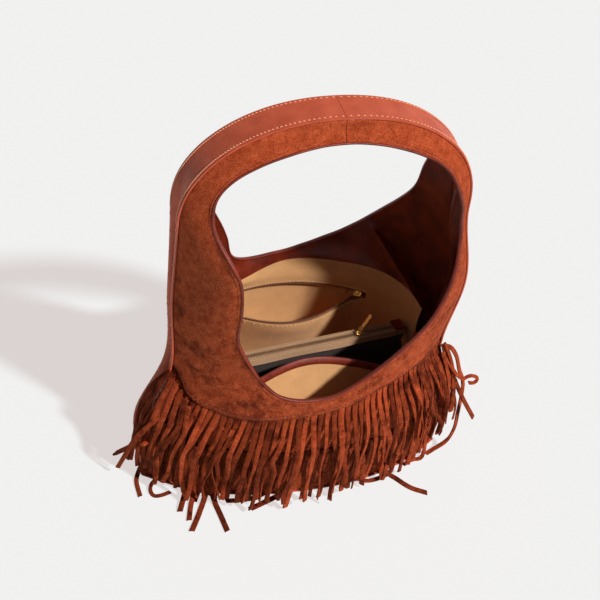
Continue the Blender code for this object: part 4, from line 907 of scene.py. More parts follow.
def slip_back(x, z, drop):
    """Slip pocket's cloth where it lies against the front lining."""
    clear = SLIP_CLEAR + (SLIP_BIND_THICK + SLIP_BIND_GAP) * (1.0 - drop)
    return front_lining_point(x / lining_half(z), z)[1] + clear


def slip_point(t, drop):
    """Slip pocket's cloth: t runs from left to right, drop from its free edge to its foot."""
    x = SLIP_LEFT + (SLIP_RIGHT - SLIP_LEFT) * t
    arch = 1.0 - (2.0 * t - 1.0) ** 2
    edge = SLIP_END_Z + SLIP_RISE * arch
    z = edge + (SLIP_LOW_Z - edge) * drop
    gape = SLIP_GAPE * arch * (1.0 - drop) ** SLIP_GAPE_POWER
    return np.array([x, slip_back(x, z, drop) + gape, z])


def beside(out):
    """Level direction to the left of an outward one."""
    return np.array([-out[1], out[0], 0.0])


def hang_path(across, top, length):
    """Centre line of a strand that hangs off the wall's furthest bulge above it."""
    start = seam_point(across, -1)
    out = level_normal(outline_x(across, HANG_Z), HANG_Z, -1)
    side = beside(out)
    points = []
    reach = 0.0
    for j in range(UPPER_ROWS + 1):
        s = j / UPPER_ROWS
        z = top - length * s
        wall = wall_point(outline_x(across, z), z, -1)
        reach = max(reach, float(np.dot(wall - start, out)))
        lift = reach + UPPER_HANG * float(ease(2.2 * s))
        place = start + out * lift + side * float(np.dot(wall - start, side))
        points.append((np.array([place[0], place[1], z]), out, side))
    return points


# Meshes


def mesh_object(name, verts, faces, material, uvs=None, sharp=50.0):
    """Mesh object with smooth shading, its faces pointing out."""
    mesh = bpy.data.meshes.new(name)
    mesh.from_pydata(np.asarray(verts, float).tolist(), [], faces)
    if uvs is not None:
        layer = mesh.uv_layers.new(name="cloth")
        places = np.zeros(len(mesh.loops), np.int32)
        mesh.loops.foreach_get("vertex_index", places)
        layer.uv.foreach_set("vector", np.asarray(uvs, np.float32)[places].ravel())
    shell = bmesh.new()
    shell.from_mesh(mesh)
    bmesh.ops.recalc_face_normals(shell, faces=shell.faces)
    shell.to_mesh(mesh)
    shell.free()
    mesh.shade_smooth()
    mesh.set_sharp_from_angle(angle=math.radians(sharp))
    mesh.materials.append(material)
    return in_scene(name, mesh)


def in_scene(name, data):
    """Object put in the scene."""
    obj = bpy.data.objects.new(name, data)
    bpy.context.scene.collection.objects.link(obj)
    return obj


def dress(obj, slot, *nodes, body="bag"):
    """Let a piece ride on its body and stand for its solids; the slot, the name of its finish, is not used.
    """
    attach(obj, body)
    if nodes:
        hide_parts(*nodes)
    return obj


def flat_places(grid):
    """Lengths along and across a grid, in metres."""
    along = np.linalg.norm(np.diff(grid, axis=0), axis=2)
    across = np.linalg.norm(np.diff(grid, axis=1), axis=2)
    u = np.zeros(grid.shape[:2])
    v = np.zeros(grid.shape[:2])
    u[1:] = np.cumsum(along.mean(axis=1))[:, None]
    v[:, 1:] = np.cumsum(across, axis=1)
    return np.stack([u, v], axis=2)


def sheet_mesh(outer, inner, mask=None):
    """Points and quads of a closed sheet between two grids."""
    nu, nv = outer.shape[:2]
    count = nu * nv
    kept = np.ones((nu - 1, nv - 1), bool) if mask is None else mask
    verts = np.concatenate([outer.reshape(-1, 3), inner.reshape(-1, 3)])
    faces = []
    for i in range(nu - 1):
        for j in range(nv - 1):
            if not kept[i, j]:
                continue
            a, b, c, d = i * nv + j, (i + 1) * nv + j, (i + 1) * nv + j + 1, i * nv + j + 1
            faces.append((a, b, c, d))
            faces.append((a + count, d + count, c + count, b + count))
            if j == 0 or not kept[i, j - 1]:
                faces.append((a, a + count, b + count, b))
            if j == nv - 2 or not kept[i, j + 1]:
                faces.append((d, c, c + count, d + count))
            if i == 0 or not kept[i - 1, j]:
                faces.append((a, d, d + count, a + count))
            if i == nu - 2 or not kept[i + 1, j]:
                faces.append((b, b + count, c + count, c))
    return verts, faces


def sheet(name, outer, inner, material, mask=None):
    """Closed sheet with its flat places kept as a map."""
    verts, faces = sheet_mesh(outer, inner, mask)
    flat = flat_places(outer).reshape(-1, 2)
    obj = mesh_object(name, verts, faces, material, np.concatenate([flat, flat]))
    if mask is None:
        return obj
    shell = bmesh.new()
    shell.from_mesh(obj.data)
    bmesh.ops.delete(shell, geom=[v for v in shell.verts if not v.link_faces], context="VERTS")
    shell.to_mesh(obj.data)
    shell.free()
    return obj


def tube(sections, closed=False):
    """Points and quads through equal sections, capped at the ends unless closed."""
    sections = np.asarray(sections)
    rings, size = sections.shape[:2]
    faces = []
    for i in range(rings if closed else rings - 1):
        k = (i + 1) % rings
        for j in range(size):
            m = (j + 1) % size
            faces.append((i * size + j, k * size + j, k * size + m, i * size + m))
    if not closed:
        faces.append(tuple(range(size)))
        faces.append(tuple((rings - 1) * size + j for j in range(size)))
    return sections.reshape(-1, 3), faces


def merge(parts):
    """One mesh out of many: points, faces."""
    verts = []
    faces = []
    start = 0
    for points, polygons in parts:
        verts.append(points)
        faces += [tuple(i + start for i in polygon) for polygon in polygons]
        start += len(points)
    return np.concatenate(verts), faces


def line_length(line):
    """Length of a line of points."""
    return float(np.linalg.norm(np.diff(np.asarray(line), axis=0), axis=1).sum())


def smooth_line(points, count):
    """Smooth curve through a few points."""
    points = np.asarray(points, float)
    padded = np.concatenate([[2 * points[0] - points[1]], points, [2 * points[-1] - points[-2]]])
    made = []
    spans = len(points) - 1
    for s in np.linspace(0.0, spans, count):
        k = min(int(s), spans - 1)
        t = s - k
        a, b, c, d = padded[k], padded[k + 1], padded[k + 2], padded[k + 3]
        made.append(
            0.5 * (2 * b + (c - a) * t + (2 * a - 5 * b + 4 * c - d) * t**2 + (3 * b - a - 3 * c + d) * t**3)
        )
    return np.array(made)


# Stitches


def stitch(centre, along, out, length, width):
    """One stitch: a short thread that dips into the leather at both ends."""
    side = unit(np.cross(along, out))
    sections = []
    for t, high, wide in STITCH:
        spot = centre + along * length * t + out * width * high
        sections.append([
            spot + side * math.cos(turn) * width * 0.5 * wide + out * math.sin(turn) * width * 0.5 * wide
            for turn in SIX
        ])
    return tube(sections)


def stitch_row(line, normals, seam):
    """Stitches along a line on a surface; the seam gives their pitch and thread."""
    pitch, width = seam
    count = max(int(line_length(line) / pitch), 1)
    places = resample(np.concatenate([line, normals], axis=1), 2 * count + 1)
    row = []
    for k in range(count):
        here = places[2 * k + 1]
        along = unit(places[2 * k + 2, :3] - places[2 * k, :3])
        row.append(stitch(here[:3], along, unit(here[3:]), pitch * STITCH_SHARE, width))
    return row


def stitches(name, rows, material, slot):
    """Rows of stitches as one piece."""
    dress(mesh_object(name, *merge([s for row in rows for s in row]), material), slot)


# Walls


def ring_grid(side):
    """Yoke and handle band, with even rows between the lap and the mouth."""
    edge = [mouth_xz(a, side) for a in mouth_angles()]
    line = ring_line(side)
    far = np.linspace(0.0, 1.0, RING_ROWS + 1)[1:]
    grid = np.zeros((len(line), len(LAP_ROWS) + len(far), 3))
    normals = np.zeros(grid.shape)
    for i, (start, end) in enumerate(zip(line, edge)):
        start = np.array(start)
        end = np.array(end)
        deep = YOKE_LAP if BOTTOM.start <= i < BOTTOM.stop else FACING_INSET
        first = deep / np.linalg.norm(wall_point(*end, side) - wall_point(*start, side))
        places = [first * t for t in LAP_ROWS] + [first + (1.0 - first) * t for t in far]
        for j, t in enumerate(places):
            x, z = start + (end - start) * t
            grid[i, j] = wall_point(x, z, side)
            normals[i, j] = wall_normal(x, z, side)
    grid[0, :, 0] += SEAM_GAP / 2.0
    grid[-1, :, 0] -= SEAM_GAP / 2.0
    return grid, normals


def dress_yoke(name, side, material):
    """Suede band over the handle and round the mouth."""
    grid, normals = ring_grid(side)
    sunk = np.zeros(grid.shape[:2])
    for row, share in EDGE_SINKS.items():
        sunk[:, row] = share * EDGE_SINK
    outer = grid - normals * sunk[:, :, None]
    dress(sheet(name + "_suede", outer, grid - normals * SUEDE, material), "suede", name)
    return grid, normals


def dress_body(name, ring, ring_normals, side, material):
    """Suede panel between the yoke and the base."""
    under = SUEDE + 2.0 * GAP if side > 0 else SUEDE + GAP + STRAND_THICK + GAP
    grid = np.zeros((BOTTOM_STEPS + 1, BODY_ROWS + 2, 3))
    normals = np.zeros(grid.shape)
    for k, across in enumerate(bottom_across(side)):
        i = FIRST_BOTTOM + k
        grid[k, 0] = ring[i, LAP] - ring_normals[i, LAP] * under
        normals[k, 0] = ring_normals[i, LAP]
        for j, z in enumerate(body_heights(across)):
            x = outline_x(across, z)
            fade = 1.0 - float(ease((yoke_z(across) - z) / LAP_FADE))
            normals[k, j + 1] = wall_normal(x, z, side)
            grid[k, j + 1] = wall_point(x, z, side) - normals[k, j + 1] * under * fade
    inner = grid - normals * SUEDE
    inner[:, -1, 2] = grid[:, -1, 2]
    dress(sheet(name + "_suede", grid, inner, material), "suede", name)


def dress_binding(name, ring, normals, material):
    """Rolled leather edge of a mouth, its tail tucked behind the suede."""
    depth = SUEDE + GAP + FACING
    tail = -SUEDE - 0.00004
    tail_back = -SUEDE - 0.00026
    # Section of the roll: place beyond the suede's edge, rise above its face
    profile = (
        (-0.0032, tail), (0.00015, tail), (0.00015, -0.00020), (0.0005, 0.00030), (0.0010, 0.00045),
        (0.0015, 0.00020), (0.0019, -0.25 * depth), (0.0020, -0.50 * depth), (0.0019, -0.80 * depth),
        (0.0014, -depth - 0.0004), (0.0006, -depth - 0.0005), (0.0000, -depth - 0.0003),
        (-0.00005, tail_back), (-0.0032, tail_back),
    )
    edge = list(ring[1:-1, -1]) + [(ring[0, -1] + ring[-1, -1]) / 2.0]
    outward = list(normals[1:-1, -1]) + [normals[0, -1]]
    inner = list(ring[1:-1, -2]) + [ring[0, -2]]
    sections = []
    for i, point in enumerate(edge):
        along = edge[(i + 1) % len(edge)] - edge[i - 1]
        away = unit(np.cross(along, outward[i]))
        if np.dot(away, point - inner[i]) < 0:
            away = -away
        sections.append([point + away * a + outward[i] * b for a, b in profile])
    dress(mesh_object(name + "_roll", *tube(sections, closed=True), material), "smooth_leather", name)


def dress_facing(name, ring, normals, side, material):
    """Smooth leather inside the mouth and the handle, down to the lining."""
    normals = normals[:, LAP:]
    grid = ring[:, LAP:] - normals * (SUEDE + GAP)
    rim = lining_rim(side) + upward(LINING_MEET + GAP)
    rows = grid.shape[1]
    shares = np.linspace(0.0, 1.0, rows)[:, None]
    for k in range(BOTTOM_STEPS + 1):
        i = FIRST_BOTTOM + k
        low = grid[i, 0].copy()
        edge = grid[i, -1].copy()
        bulge = grid[i] - (low + (edge - low) * shares)
        longer = np.linalg.norm(edge - rim[k]) / np.linalg.norm(edge - low)
        grid[i] = rim[k] + (edge - rim[k]) * shares + bulge * longer**2
    fold = FACING_ROLL * rolling(SMALL, grid[:, :, 0] * 0.8, grid[:, :, 2] + 0.2 * side)
    grid = grid - normals * (fold * bell(rows))[:, :, None]
    middle = (grid[0] + grid[-1]) / 2.0
    grid[0] = middle
    grid[-1] = middle
    dress(sheet(name + "_leather", grid, grid - normals * FACING, material), "inner_leather", name)


# Gusset


def gusset_line(z, shift):
    """Smooth section of the gusset, shift inside its seam line: (inward, across)."""
    edge = float(seam_half(z)) + BASE_RIM
    flat = float(seam_half(z)) - SEAM_ALLOWANCE
    depth = float(fold_depth(z))
    b = np.linspace(-edge, edge, GUSSET_COLUMNS)
    inside = np.clip(np.abs(b) / flat, 0.0, 1.0)
    a = depth * np.cos(0.5 * np.pi * inside) ** 2 * (np.abs(b) < flat)
    slope = np.gradient(a, b)
    size = np.sqrt(1.0 + slope**2)
    return a + shift / size, b - shift * slope / size


def slack_grid(grid, normals, amount, place, weight):
    """Grid of cloth with soft folds of an amount, faded by a weight."""
    slack = amount * rolling(CLOTH_FOLDS, *place) * weight
    return grid + normals * slack[:, :, None]


def gusset_sheet(frames, shift, thickness, trim=0.0):
    """Two faces of a gusset strip."""
    faces = ([], [])
    for point, inward in frames:
        for face, depth in zip(faces, (shift, shift + thickness)):
            a, b = gusset_line(point[2], depth)
            if trim > 0.0:
                limit = float(seam_half(point[2])) - SEAM_ALLOWANCE - trim
                keep = np.linspace(-limit, limit, GUSSET_COLUMNS)
                a = np.interp(keep, b, a)
                b = keep
            face.append([point + inward * x + np.array([0.0, y, 0.0]) for x, y in zip(a, b)])
    return np.array(faces[0]), np.array(faces[1])


def dress_gusset(side_name, hand, leather, facing, thread_rows):
    """Leather strip that joins front and back, its facing and its two stitch lines."""
    frames = gusset_frames(hand)
    outer, inner = gusset_sheet(frames, -(GAP + LEATHER), LEATHER)
    out = unit_grid(outer - inner)
    # The two strips' inner faces meet at the top, so that no light comes through
    inner[0, :, 0] -= hand * GAP / 2.0
    name = "gusset_" + side_name
    dress(sheet(name + "_leather", outer, inner, leather), "smooth_leather", name)
    strip = frames[:FIRST_BOTTOM]
    strip[0] = (frames[0][0] - np.array([hand * GAP / 2.0, 0.0, 0.0]), frames[0][1])
    name = "gusset_facing_" + side_name
    obj = sheet(name + "_leather", *gusset_sheet(strip, GAP, FACING, 2.0 * GAP), facing)
    dress(obj, "inner_leather", name)
    width = np.linalg.norm(outer[:, 0] - outer[:, -1], axis=1)
    for near, far in ((0, -1), (-1, 0)):
        inward = unit_grid(outer[:, far] - outer[:, near])
        line = outer[:, near] + inward * np.minimum(GUSSET_STITCH_IN, GUSSET_STITCH_SHARE * width)[:, None]
        thread_rows.append(stitch_row(line, out[:, near], GUSSET_SEAM))


# Lining


def dress_front_lining(low, cloth):
    """Front half of the lining bag, a little slack."""
    grid = np.zeros((BOTTOM_STEPS + 1, LINING_ROWS + 1, 3))
    for k in range(BOTTOM_STEPS + 1):
        across = math.cos(math.pi * k / BOTTOM_STEPS)
        top = front_lining_top(across)[2]
        grid[k] = [front_lining_point(across, z) for z in steps(top, low, LINING_ROWS)]
    normals = grid_normals(grid, (0.0, -1.0, 0.0))
    normals[:, :, 2] = 0.0
    place = grid[:, :, 0], FOLD_STRETCH * grid[:, :, 2]
    grid = slack_grid(grid, normals, LINING_SLACK, place, bell(LINING_ROWS + 1))
    dress(sheet("front_lining_twill", grid + normals * CLOTH, grid, cloth), "lining_twill", "front_lining")


def dress_back_lining(low, cloth, thread_rows):
    """Back half of the lining bag, its zip pocket hanging open."""
    columns = back_columns()[::-1]
    above = ROWS_ABOVE_ZIP
    rows = above + 1 + 2 + LINING_ROWS
    grid = np.zeros((len(columns), rows, 3))
    for k, column in enumerate(columns):
        drop = lip_shape(column[1])[1] if column[0] == "arc" else 0.0
        top = back_lining_top(column)[2]
        heights = steps(top, BACK_LINING_KNEE_Z, above - 1)
        heights += [POCKET_ZIP_Z + SLOT_UP, POCKET_ZIP_Z - SLOT_UP - drop] + lip_heights(drop, low)
        for j, z in enumerate(heights):
            grid[k, j] = back_lining_point(column, z)
            if j > above and column[0] == "arc":
                grid[k, j, 1] = lip_y(column[1], z, low)
    normals = np.zeros_like(grid)
    for j in range(rows):
        outer = offset_line(grid[::-1, j], CLOTH)[::-1]
        for k, flat in enumerate(outer):
            normals[k, j, :2] = (flat - grid[k, j, :2]) / CLOTH
    weight = np.zeros(rows)
    weight[1:above] = bell(above + 1)[1:above]
    weight[above + 2 :] = bell(rows - above - 2) * 0.6
    place = grid[:, :, 0] + 0.4, FOLD_STRETCH * grid[:, :, 2]
    grid = slack_grid(grid, normals, LINING_SLACK, place, weight)
    first = CORNER_STEPS + 1
    slot = slice(first, first + SLOT_STEPS + 1)
    mask = np.ones((len(columns) - 1, rows - 1), bool)
    mask[first : first + SLOT_STEPS, above] = False
    obj = sheet("back_lining_twill", grid + normals * CLOTH, grid, cloth, mask)
    dress(obj, "lining_twill", "back_lining")
    for row, shift in ((above, ZIP_STITCH_IN), (above + 1, -ZIP_STITCH_IN)):
        thread_rows.append(stitch_row(grid[slot, row] + upward(shift), -normals[slot, row], ZIP_SEAM))
    thread_rows.append(stitch_row(grid[:, 0] - upward(RIM_STITCH_IN), -normals[:, 0], RIM_SEAM))


# Zips


def teeth(line, outs, up):
    """Coil of a zip half along a line: one small bar across it for each tooth."""
    count = int(line_length(line) / TOOTH_PITCH)
    places = resample(np.concatenate([line, outs], axis=1), count + 1)
    made = []
    for k in range(count):
        here = 0.5 * (places[k] + places[k + 1])
        along = unit(places[k + 1, :3] - places[k, :3])
        out = unit(here[3:])
        rise = unit(np.cross(out, along)) * up
        sections = []
        for t, wide in TOOTH:
            spot = here[:3] + rise * CHAIN_TALL * t
            ring = []
            for turn in SIX:
                across = along * math.cos(turn) * TOOTH_PITCH * TOOTH_WIDE
                ring.append(spot + (across + out * math.sin(turn) * (CHAIN_THICK / 2.0)) * wide)
            sections.append(ring)
        made.append(tube(sections))
    return made


def dress_zip_row(name, line, drops, up, tape, coil):
    """One half of the pocket zip: its tape and its coil."""
    back, face, middle = [offset_line(line, TAPE_DEPTH + a) for a in (-TAPE / 2.0, TAPE / 2.0, 0.0)]
    outer = np.zeros((len(line), TAPE_ROWS, 3))
    inner = np.zeros(outer.shape)
    for k, drop in enumerate(drops):
        for j in range(TAPE_ROWS):
            rise = CHAIN_HALF_GAP + TAPE_EDGE + (TAPE_REACH - TAPE_EDGE) * j / (TAPE_ROWS - 1.0)
            z = POCKET_ZIP_Z + up * rise - drop
            ripple = 0.00010 * math.sin(5.0 * j)
            outer[k, j] = (*face[k], z)
            inner[k, j] = (*back[k], z + ripple)
    dress(sheet(name + "_tape", outer, inner, tape), "zip_tape", name)
    chain_z = POCKET_ZIP_Z + up * CHAIN_MIDDLE
    chain = np.array([(*flat, chain_z - drop) for flat, drop in zip(middle, drops)])
    made = teeth(chain, unit_grid(inner[:, 0] - outer[:, 0]), up)
    dress(mesh_object(name + "_coil", *merge(made), coil), "zip_tape")


def dress_pocket_zip(tape, coil):
    """Two halves of the pocket zip."""
    dress_zip_row("pocket_zip_upper", arc_line(), [0.0] * (SLOT_STEPS + 1), 1.0, tape, coil)
    drops = [lip_shape(x)[1] for x in slot_stations()]
    dress_zip_row("pocket_zip_lower", lip_line(), drops, -1.0, tape, coil)


def dress_pouch(low, cloth):
    """Bag of the zip pocket."""
    near = TAPE_DEPTH + TAPE / 2.0 + GAP
    far = TAPE_DEPTH + CHAIN_THICK / 2.0 + SLIDER_CLEAR + SLIDER_PLATE + 2.0 * GAP
    top = offset_line(arc_line(), near)
    back = offset_line(arc_line(), far)
    front = offset_line(lip_line(), near + TAPE)
    turn_z = POUCH_LOW_Z + POUCH_TURN
    skip = 2
    lines = []
    for k, x in list(enumerate(slot_stations()))[skip : SLOT_STEPS - skip + 1]:
        rows = lip_heights(lip_shape(x)[1], low)
        path = [(*top[k], POCKET_ZIP_Z + TAPE_REACH)]
        path.append((*back[k], POCKET_ZIP_Z + SLIDER_WIDE / 2.0 + 3.0 * GAP))
        for z in (0.5 * (POCKET_ZIP_Z + turn_z), turn_z):
            scale = back_lining_point(("arc", x), z)[1] / arc_y(x)
            path.append((back[k][0], back[k][1] * scale, z))
        deep = path[-1][1]
        shallow = max(lip_y(x, turn_z, low) + CLOTH + TAPE + POUCH_CLEAR, deep - POUCH_TURN)
        path.append((back[k][0], 0.5 * (deep + shallow), POUCH_LOW_Z))
        path.append((0.5 * (back[k][0] + front[k][0]), shallow, turn_z))
        for z in (rows[LINING_ROWS // 2], rows[LINING_ROWS // 4]):
            path.append((front[k][0], lip_y(x, z, low) + CLOTH + TAPE + POUCH_CLEAR, z))
        path.append((*front[k], rows[0]))
        path.append((*front[k], rows[0] + 2.0 * LINING_LAP))
        lines.append(resample(smooth_line(path, 60), POUCH_ROWS))
    grid = np.array(lines)
    normals = grid_normals(grid, (0.0, 1.0, 0.0))
    # The thickness lies outward, which is backward on the wall behind the zip
    normals *= np.sign(normals[len(grid) // 2, POUCH_BACK_ROW, 1])
    dress(sheet("zip_pocket_twill", grid, grid + normals * TAPE, cloth), "lining_twill", "zip_pocket_pouch")


# Divider


def dress_divider(low, front_shade_cloth, back_cloth, tape, coil, thread_rows):
    """Zipped middle compartment: soft walls, the front one in dark cloth as painted shade, tapes with
    stitched lines, and coils.
    """
    top = DIVIDER_Z - TAPE / 2.0 - GAP
    # The front wall's cloth is dark brown: painted shade for the shadow between the divider and the slip
    # pocket.
    for name, hand, cloth in (("divider_front", -1.0, front_shade_cloth), ("divider_back", 1.0, back_cloth)):
        grid = np.zeros((DIVIDER_STEPS + 1, DIVIDER_ROWS + 1, 3))
        for j in range(DIVIDER_ROWS + 1):
            s = j / DIVIDER_ROWS
            z = top + (low - top) * s
            left, right = [divider_end(end, min(z, top)) for end in (-1, 1)]
            spread = DIVIDER_FOOT_HALF + (DIVIDER_HALF - DIVIDER_FOOT_HALF) * (1.0 - float(ease(4.5 * s)))
            for k in range(DIVIDER_STEPS + 1):
                along = left + (right - left) * k / DIVIDER_STEPS
                fold = rolling(CLOTH_FOLDS, along + 0.2 * hand, 0.4 * z)
                across = spread - CLOTH + DIVIDER_SLACK * math.sin(math.pi * s) * fold
                grid[k, j] = divider_point(along, hand * across + back_lean(s, hand), z)
        obj = sheet(name + "_twill", grid + DIVIDER_ACROSS * hand * CLOTH, grid, cloth)
        dress(obj, "lining_twill", name)
    left, right = [divider_end(end, DIVIDER_Z) for end in (-1, 1)]
    for name, hand in (("divider_zip_front", -1.0), ("divider_zip_back", 1.0)):
        outer, inner = divider_tape(left, right, hand)
        dress(sheet(name + "_tape", outer, inner, tape), "zip_tape", name)
        up = np.tile(upward(1.0), (DIVIDER_TAPE_STEPS, 1))
        places = np.linspace(left, right, DIVIDER_TAPE_STEPS)
        chain = np.array([divider_point(a, hand * CHAIN_MIDDLE, DIVIDER_Z) for a in places])
        made = teeth(chain, up, 1.0)
        dress(mesh_object(name + "_coil", *merge(made), coil), "zip_tape")
        for place in TAPE_STITCH_ROWS:
            column = int(round(place * (DIVIDER_TAPE_ROWS - 1)))
            line = outer[2:-2, column] + up[2:-2] * 0.00005
            thread_rows.append(stitch_row(line, up[2:-2], TAPE_SEAM))


def back_lean(share, hand):
    """How far a wall of the divider hangs back under its tape."""
    if hand > 0:
        return 0.0
    return DIVIDER_LEAN * float(ease(5.0 * share)) * float(1.0 - ease(2.0 * share - 1.0))


def divider_tape(left, right, hand):
    """Top and bottom faces of one tape of the divider, its outer edge folded down."""
    along = np.linspace(left, right, DIVIDER_TAPE_STEPS)
    across = np.linspace(CHAIN_HALF_GAP + TAPE_EDGE, TAPE_FOLD_LONG, DIVIDER_TAPE_ROWS)
    outer = np.zeros((len(along), len(across), 3))
    inner = np.zeros(outer.shape)
    for i, a in enumerate(along):
        end = min(i, len(along) - 1 - i) / 8.0
        open_fold = TAPE_FOLD_OPEN * float(ease(end)) if hand < 0 else BACK_TAPE_FOLD_OPEN
        for j, b in enumerate(across):
            ridge = TAPE_RIDGE * float(ease((b - TAPE_RIDGE_AT) / TAPE_RIDGE_EASE))
            raised = ridge + TAPE_RIB * math.sin(b * TAPE_RIB_TURNS)
            past = max(b - TAPE_FOLD_AT, 0.0)
            reach = min(b, TAPE_FOLD_AT) + past * open_fold
            fall = past * math.sqrt(1.0 - open_fold**2)
            ripple = TAPE_RIPPLE * math.sin(a * TAPE_RIPPLE_TURNS + hand) * past / TAPE_RIPPLE_AT
            low_reach = reach + ripple - TAPE * min(past / 0.001, 1.0)
            outer[i, j] = divider_point(a, hand * (reach + ripple), DIVIDER_Z + TAPE / 2.0 + raised - fall)
            inner[i, j] = divider_point(a, hand * low_reach, DIVIDER_Z - TAPE / 2.0 + raised - fall)
    return outer, inner


# Slip pocket


def dress_slip_pocket(cloth, leather, thread_rows):
    """Gaping pocket on the front lining, its free edge bound in leather."""
    grid = np.zeros((SLIP_STEPS + 1, SLIP_ROWS + 1, 3))
    for k in range(SLIP_STEPS + 1):
        for j in range(SLIP_ROWS + 1):
            grid[k, j] = slip_point(k / SLIP_STEPS, (j / SLIP_ROWS) ** SLIP_ROW_POWER)
    normals = grid_normals(grid, (0.0, 1.0, 0.0))
    fade = bell(SLIP_ROWS + 1)[None, :] * bell(SLIP_STEPS + 1)[:, None]
    place = grid[:, :, 0] - 0.3, 0.5 * grid[:, :, 2]
    grid = slack_grid(grid, normals, SLIP_SLACK, place, fade)
    dress(sheet("slip_pocket_twill", grid, grid + normals * CLOTH, cloth), "lining_twill", "slip_pocket")
    near = -SLIP_BIND_GAP * 0.3
    far = CLOTH + SLIP_BIND_GAP * 0.3
    thick = SLIP_BIND_THICK
    tall = SLIP_BIND_TALL
    middle = 0.5 * (near + far)
    # Section of the roll: place below the cloth's edge, place through it
    profile = (
        (tall, near), (0.0, near), (-0.0003, middle), (0.0, far), (tall, far),
        (tall + 0.0002, far + 0.4 * thick), (tall - 0.0004, far + thick), (0.5 * tall, far + 1.1 * thick),
        (0.0010, far + 1.25 * thick), (-0.0007, far + 0.9 * thick), (-0.0014, middle),
        (-0.0007, near - 0.9 * thick), (0.0010, near - 1.2 * thick), (0.5 * tall, near - 1.1 * thick),
        (tall - 0.0004, near - thick), (tall + 0.0002, near - 0.4 * thick),
    )
    sections = []
    seams = ([], [])
    for k in range(SLIP_STEPS + 1):
        down = unit(grid[k, 1] - grid[k, 0])
        sections.append([grid[k, 0] + down * a + normals[k, 0] * b for a, b in profile])
        for seam, b in zip(seams, (near - 1.03 * thick, far + 1.03 * thick)):
            seam.append(grid[k, 0] + down * (tall - 0.0016) + normals[k, 0] * b)
    obj = mesh_object("slip_pocket_binding_roll", *tube(sections), leather)
    dress(obj, "smooth_leather", "slip_pocket_binding")
    for seam, side in zip(seams, (-1.0, 1.0)):
        thread_rows.append(stitch_row(np.array(seam), side * normals[:, 0], SLIP_SEAM))


# Fringe


def ribbon(line, faces, width, slant):
    """Leather strand along a line; faces gives the direction that its flat side shows."""
    line = np.asarray(line)
    ahead = unit_grid(np.gradient(line, axis=0))
    side = unit_grid(np.cross(ahead, faces))
    face = unit_grid(np.cross(side, ahead))
    last = len(line) - 1
    sections = []
    for k, spot in enumerate(line):
        half = width[k] / 2.0
        cut = slant * half if k == last else 0.0
        cup = STRAND_CUP * width[k]
        ring = []
        for b, h in STRAND_SECTION:
            bow = cup * (b * b - 0.4)
            ring.append(spot + side[k] * half * b + face[k] * (STRAND_THICK * h - bow) + ahead[k] * cut * b)
        sections.append(ring)
    return tube(sections)


def twist(faces, line, angles):
    """Facing directions turned about the line."""
    ahead = unit_grid(np.gradient(line, axis=0))
    turned = []
    for f, a, angle in zip(faces, ahead, angles):
        f = unit(f - a * np.dot(f, a))
        turned.append(f * math.cos(angle) + np.cross(a, f) * math.sin(angle))
    return np.array(turned)


def shades(parts, dice):
    """Flat places for strands: the second number is one shade for each strand."""
    made = [np.tile(np.array([0.0, dice.random()]), (len(points), 1)) for points, _ in parts]
    return np.concatenate(made)


def free_strand(points, wide, out, roll):
    """Strand along given points: its flat side faces out, or up where it lies."""
    stations = max(int(line_length(points) / STRAND_STATION), 12)
    line = smooth_line(points, stations)
    line[:, 2] = np.maximum(line[:, 2], FLOOR_CLEAR + STRAND_THICK / 2.0)
    lying = ease((LIE_FROM_Z - line[:, 2]) / LIE_EASE)[:, None]
    faces = np.array(out)[None, :] * (1.0 - lying) + upward(1.0)[None, :] * lying
    s = np.linspace(0.0, 1.0, stations)
    angles = (roll[0] + (roll[1] - roll[0]) * s) * (1.0 - lying[:, 0])
    return ribbon(line, twist(faces, line, angles), wide * np.ones(stations), STRAND_CUT)


def placed_strands(table):
    """Strands of a table."""
    made = []
    for wide, out, roll, numbers in table:
        points = np.reshape(numbers, (-1, 3)) / TENTHS
        made.append(free_strand(points, wide / TENTHS, out, roll))
    return made


def corner_strand(place, dice):
    """Strand of the inner layer near a lower corner, from under the curtain to the floor."""
    points = []
    shift = math.copysign(dice.uniform(*CORNER_SHIFTS), place)
    rise = yoke_z(place) - CORNER_DROP
    low = dice.uniform(*CORNER_ENDS)
    for t in (0.0, *STRAND_POINTS):
        z = rise + (low - rise) * t
        x = outline_x(place, z)
        out = level_normal(x, z, -1)
        spot = wall_point(x, z, -1) + out * (0.0016 + 0.0030 * t + 0.0010 * math.sin(5.0 * t + shift * 900.0))
        points.append((spot[0] + shift * t, spot[1], z))
    return free_strand(points, LOWER_WIDTH * dice.uniform(*CORNER_WIDTHS), out, (0.0, dice.gauss(0.0, 0.5)))


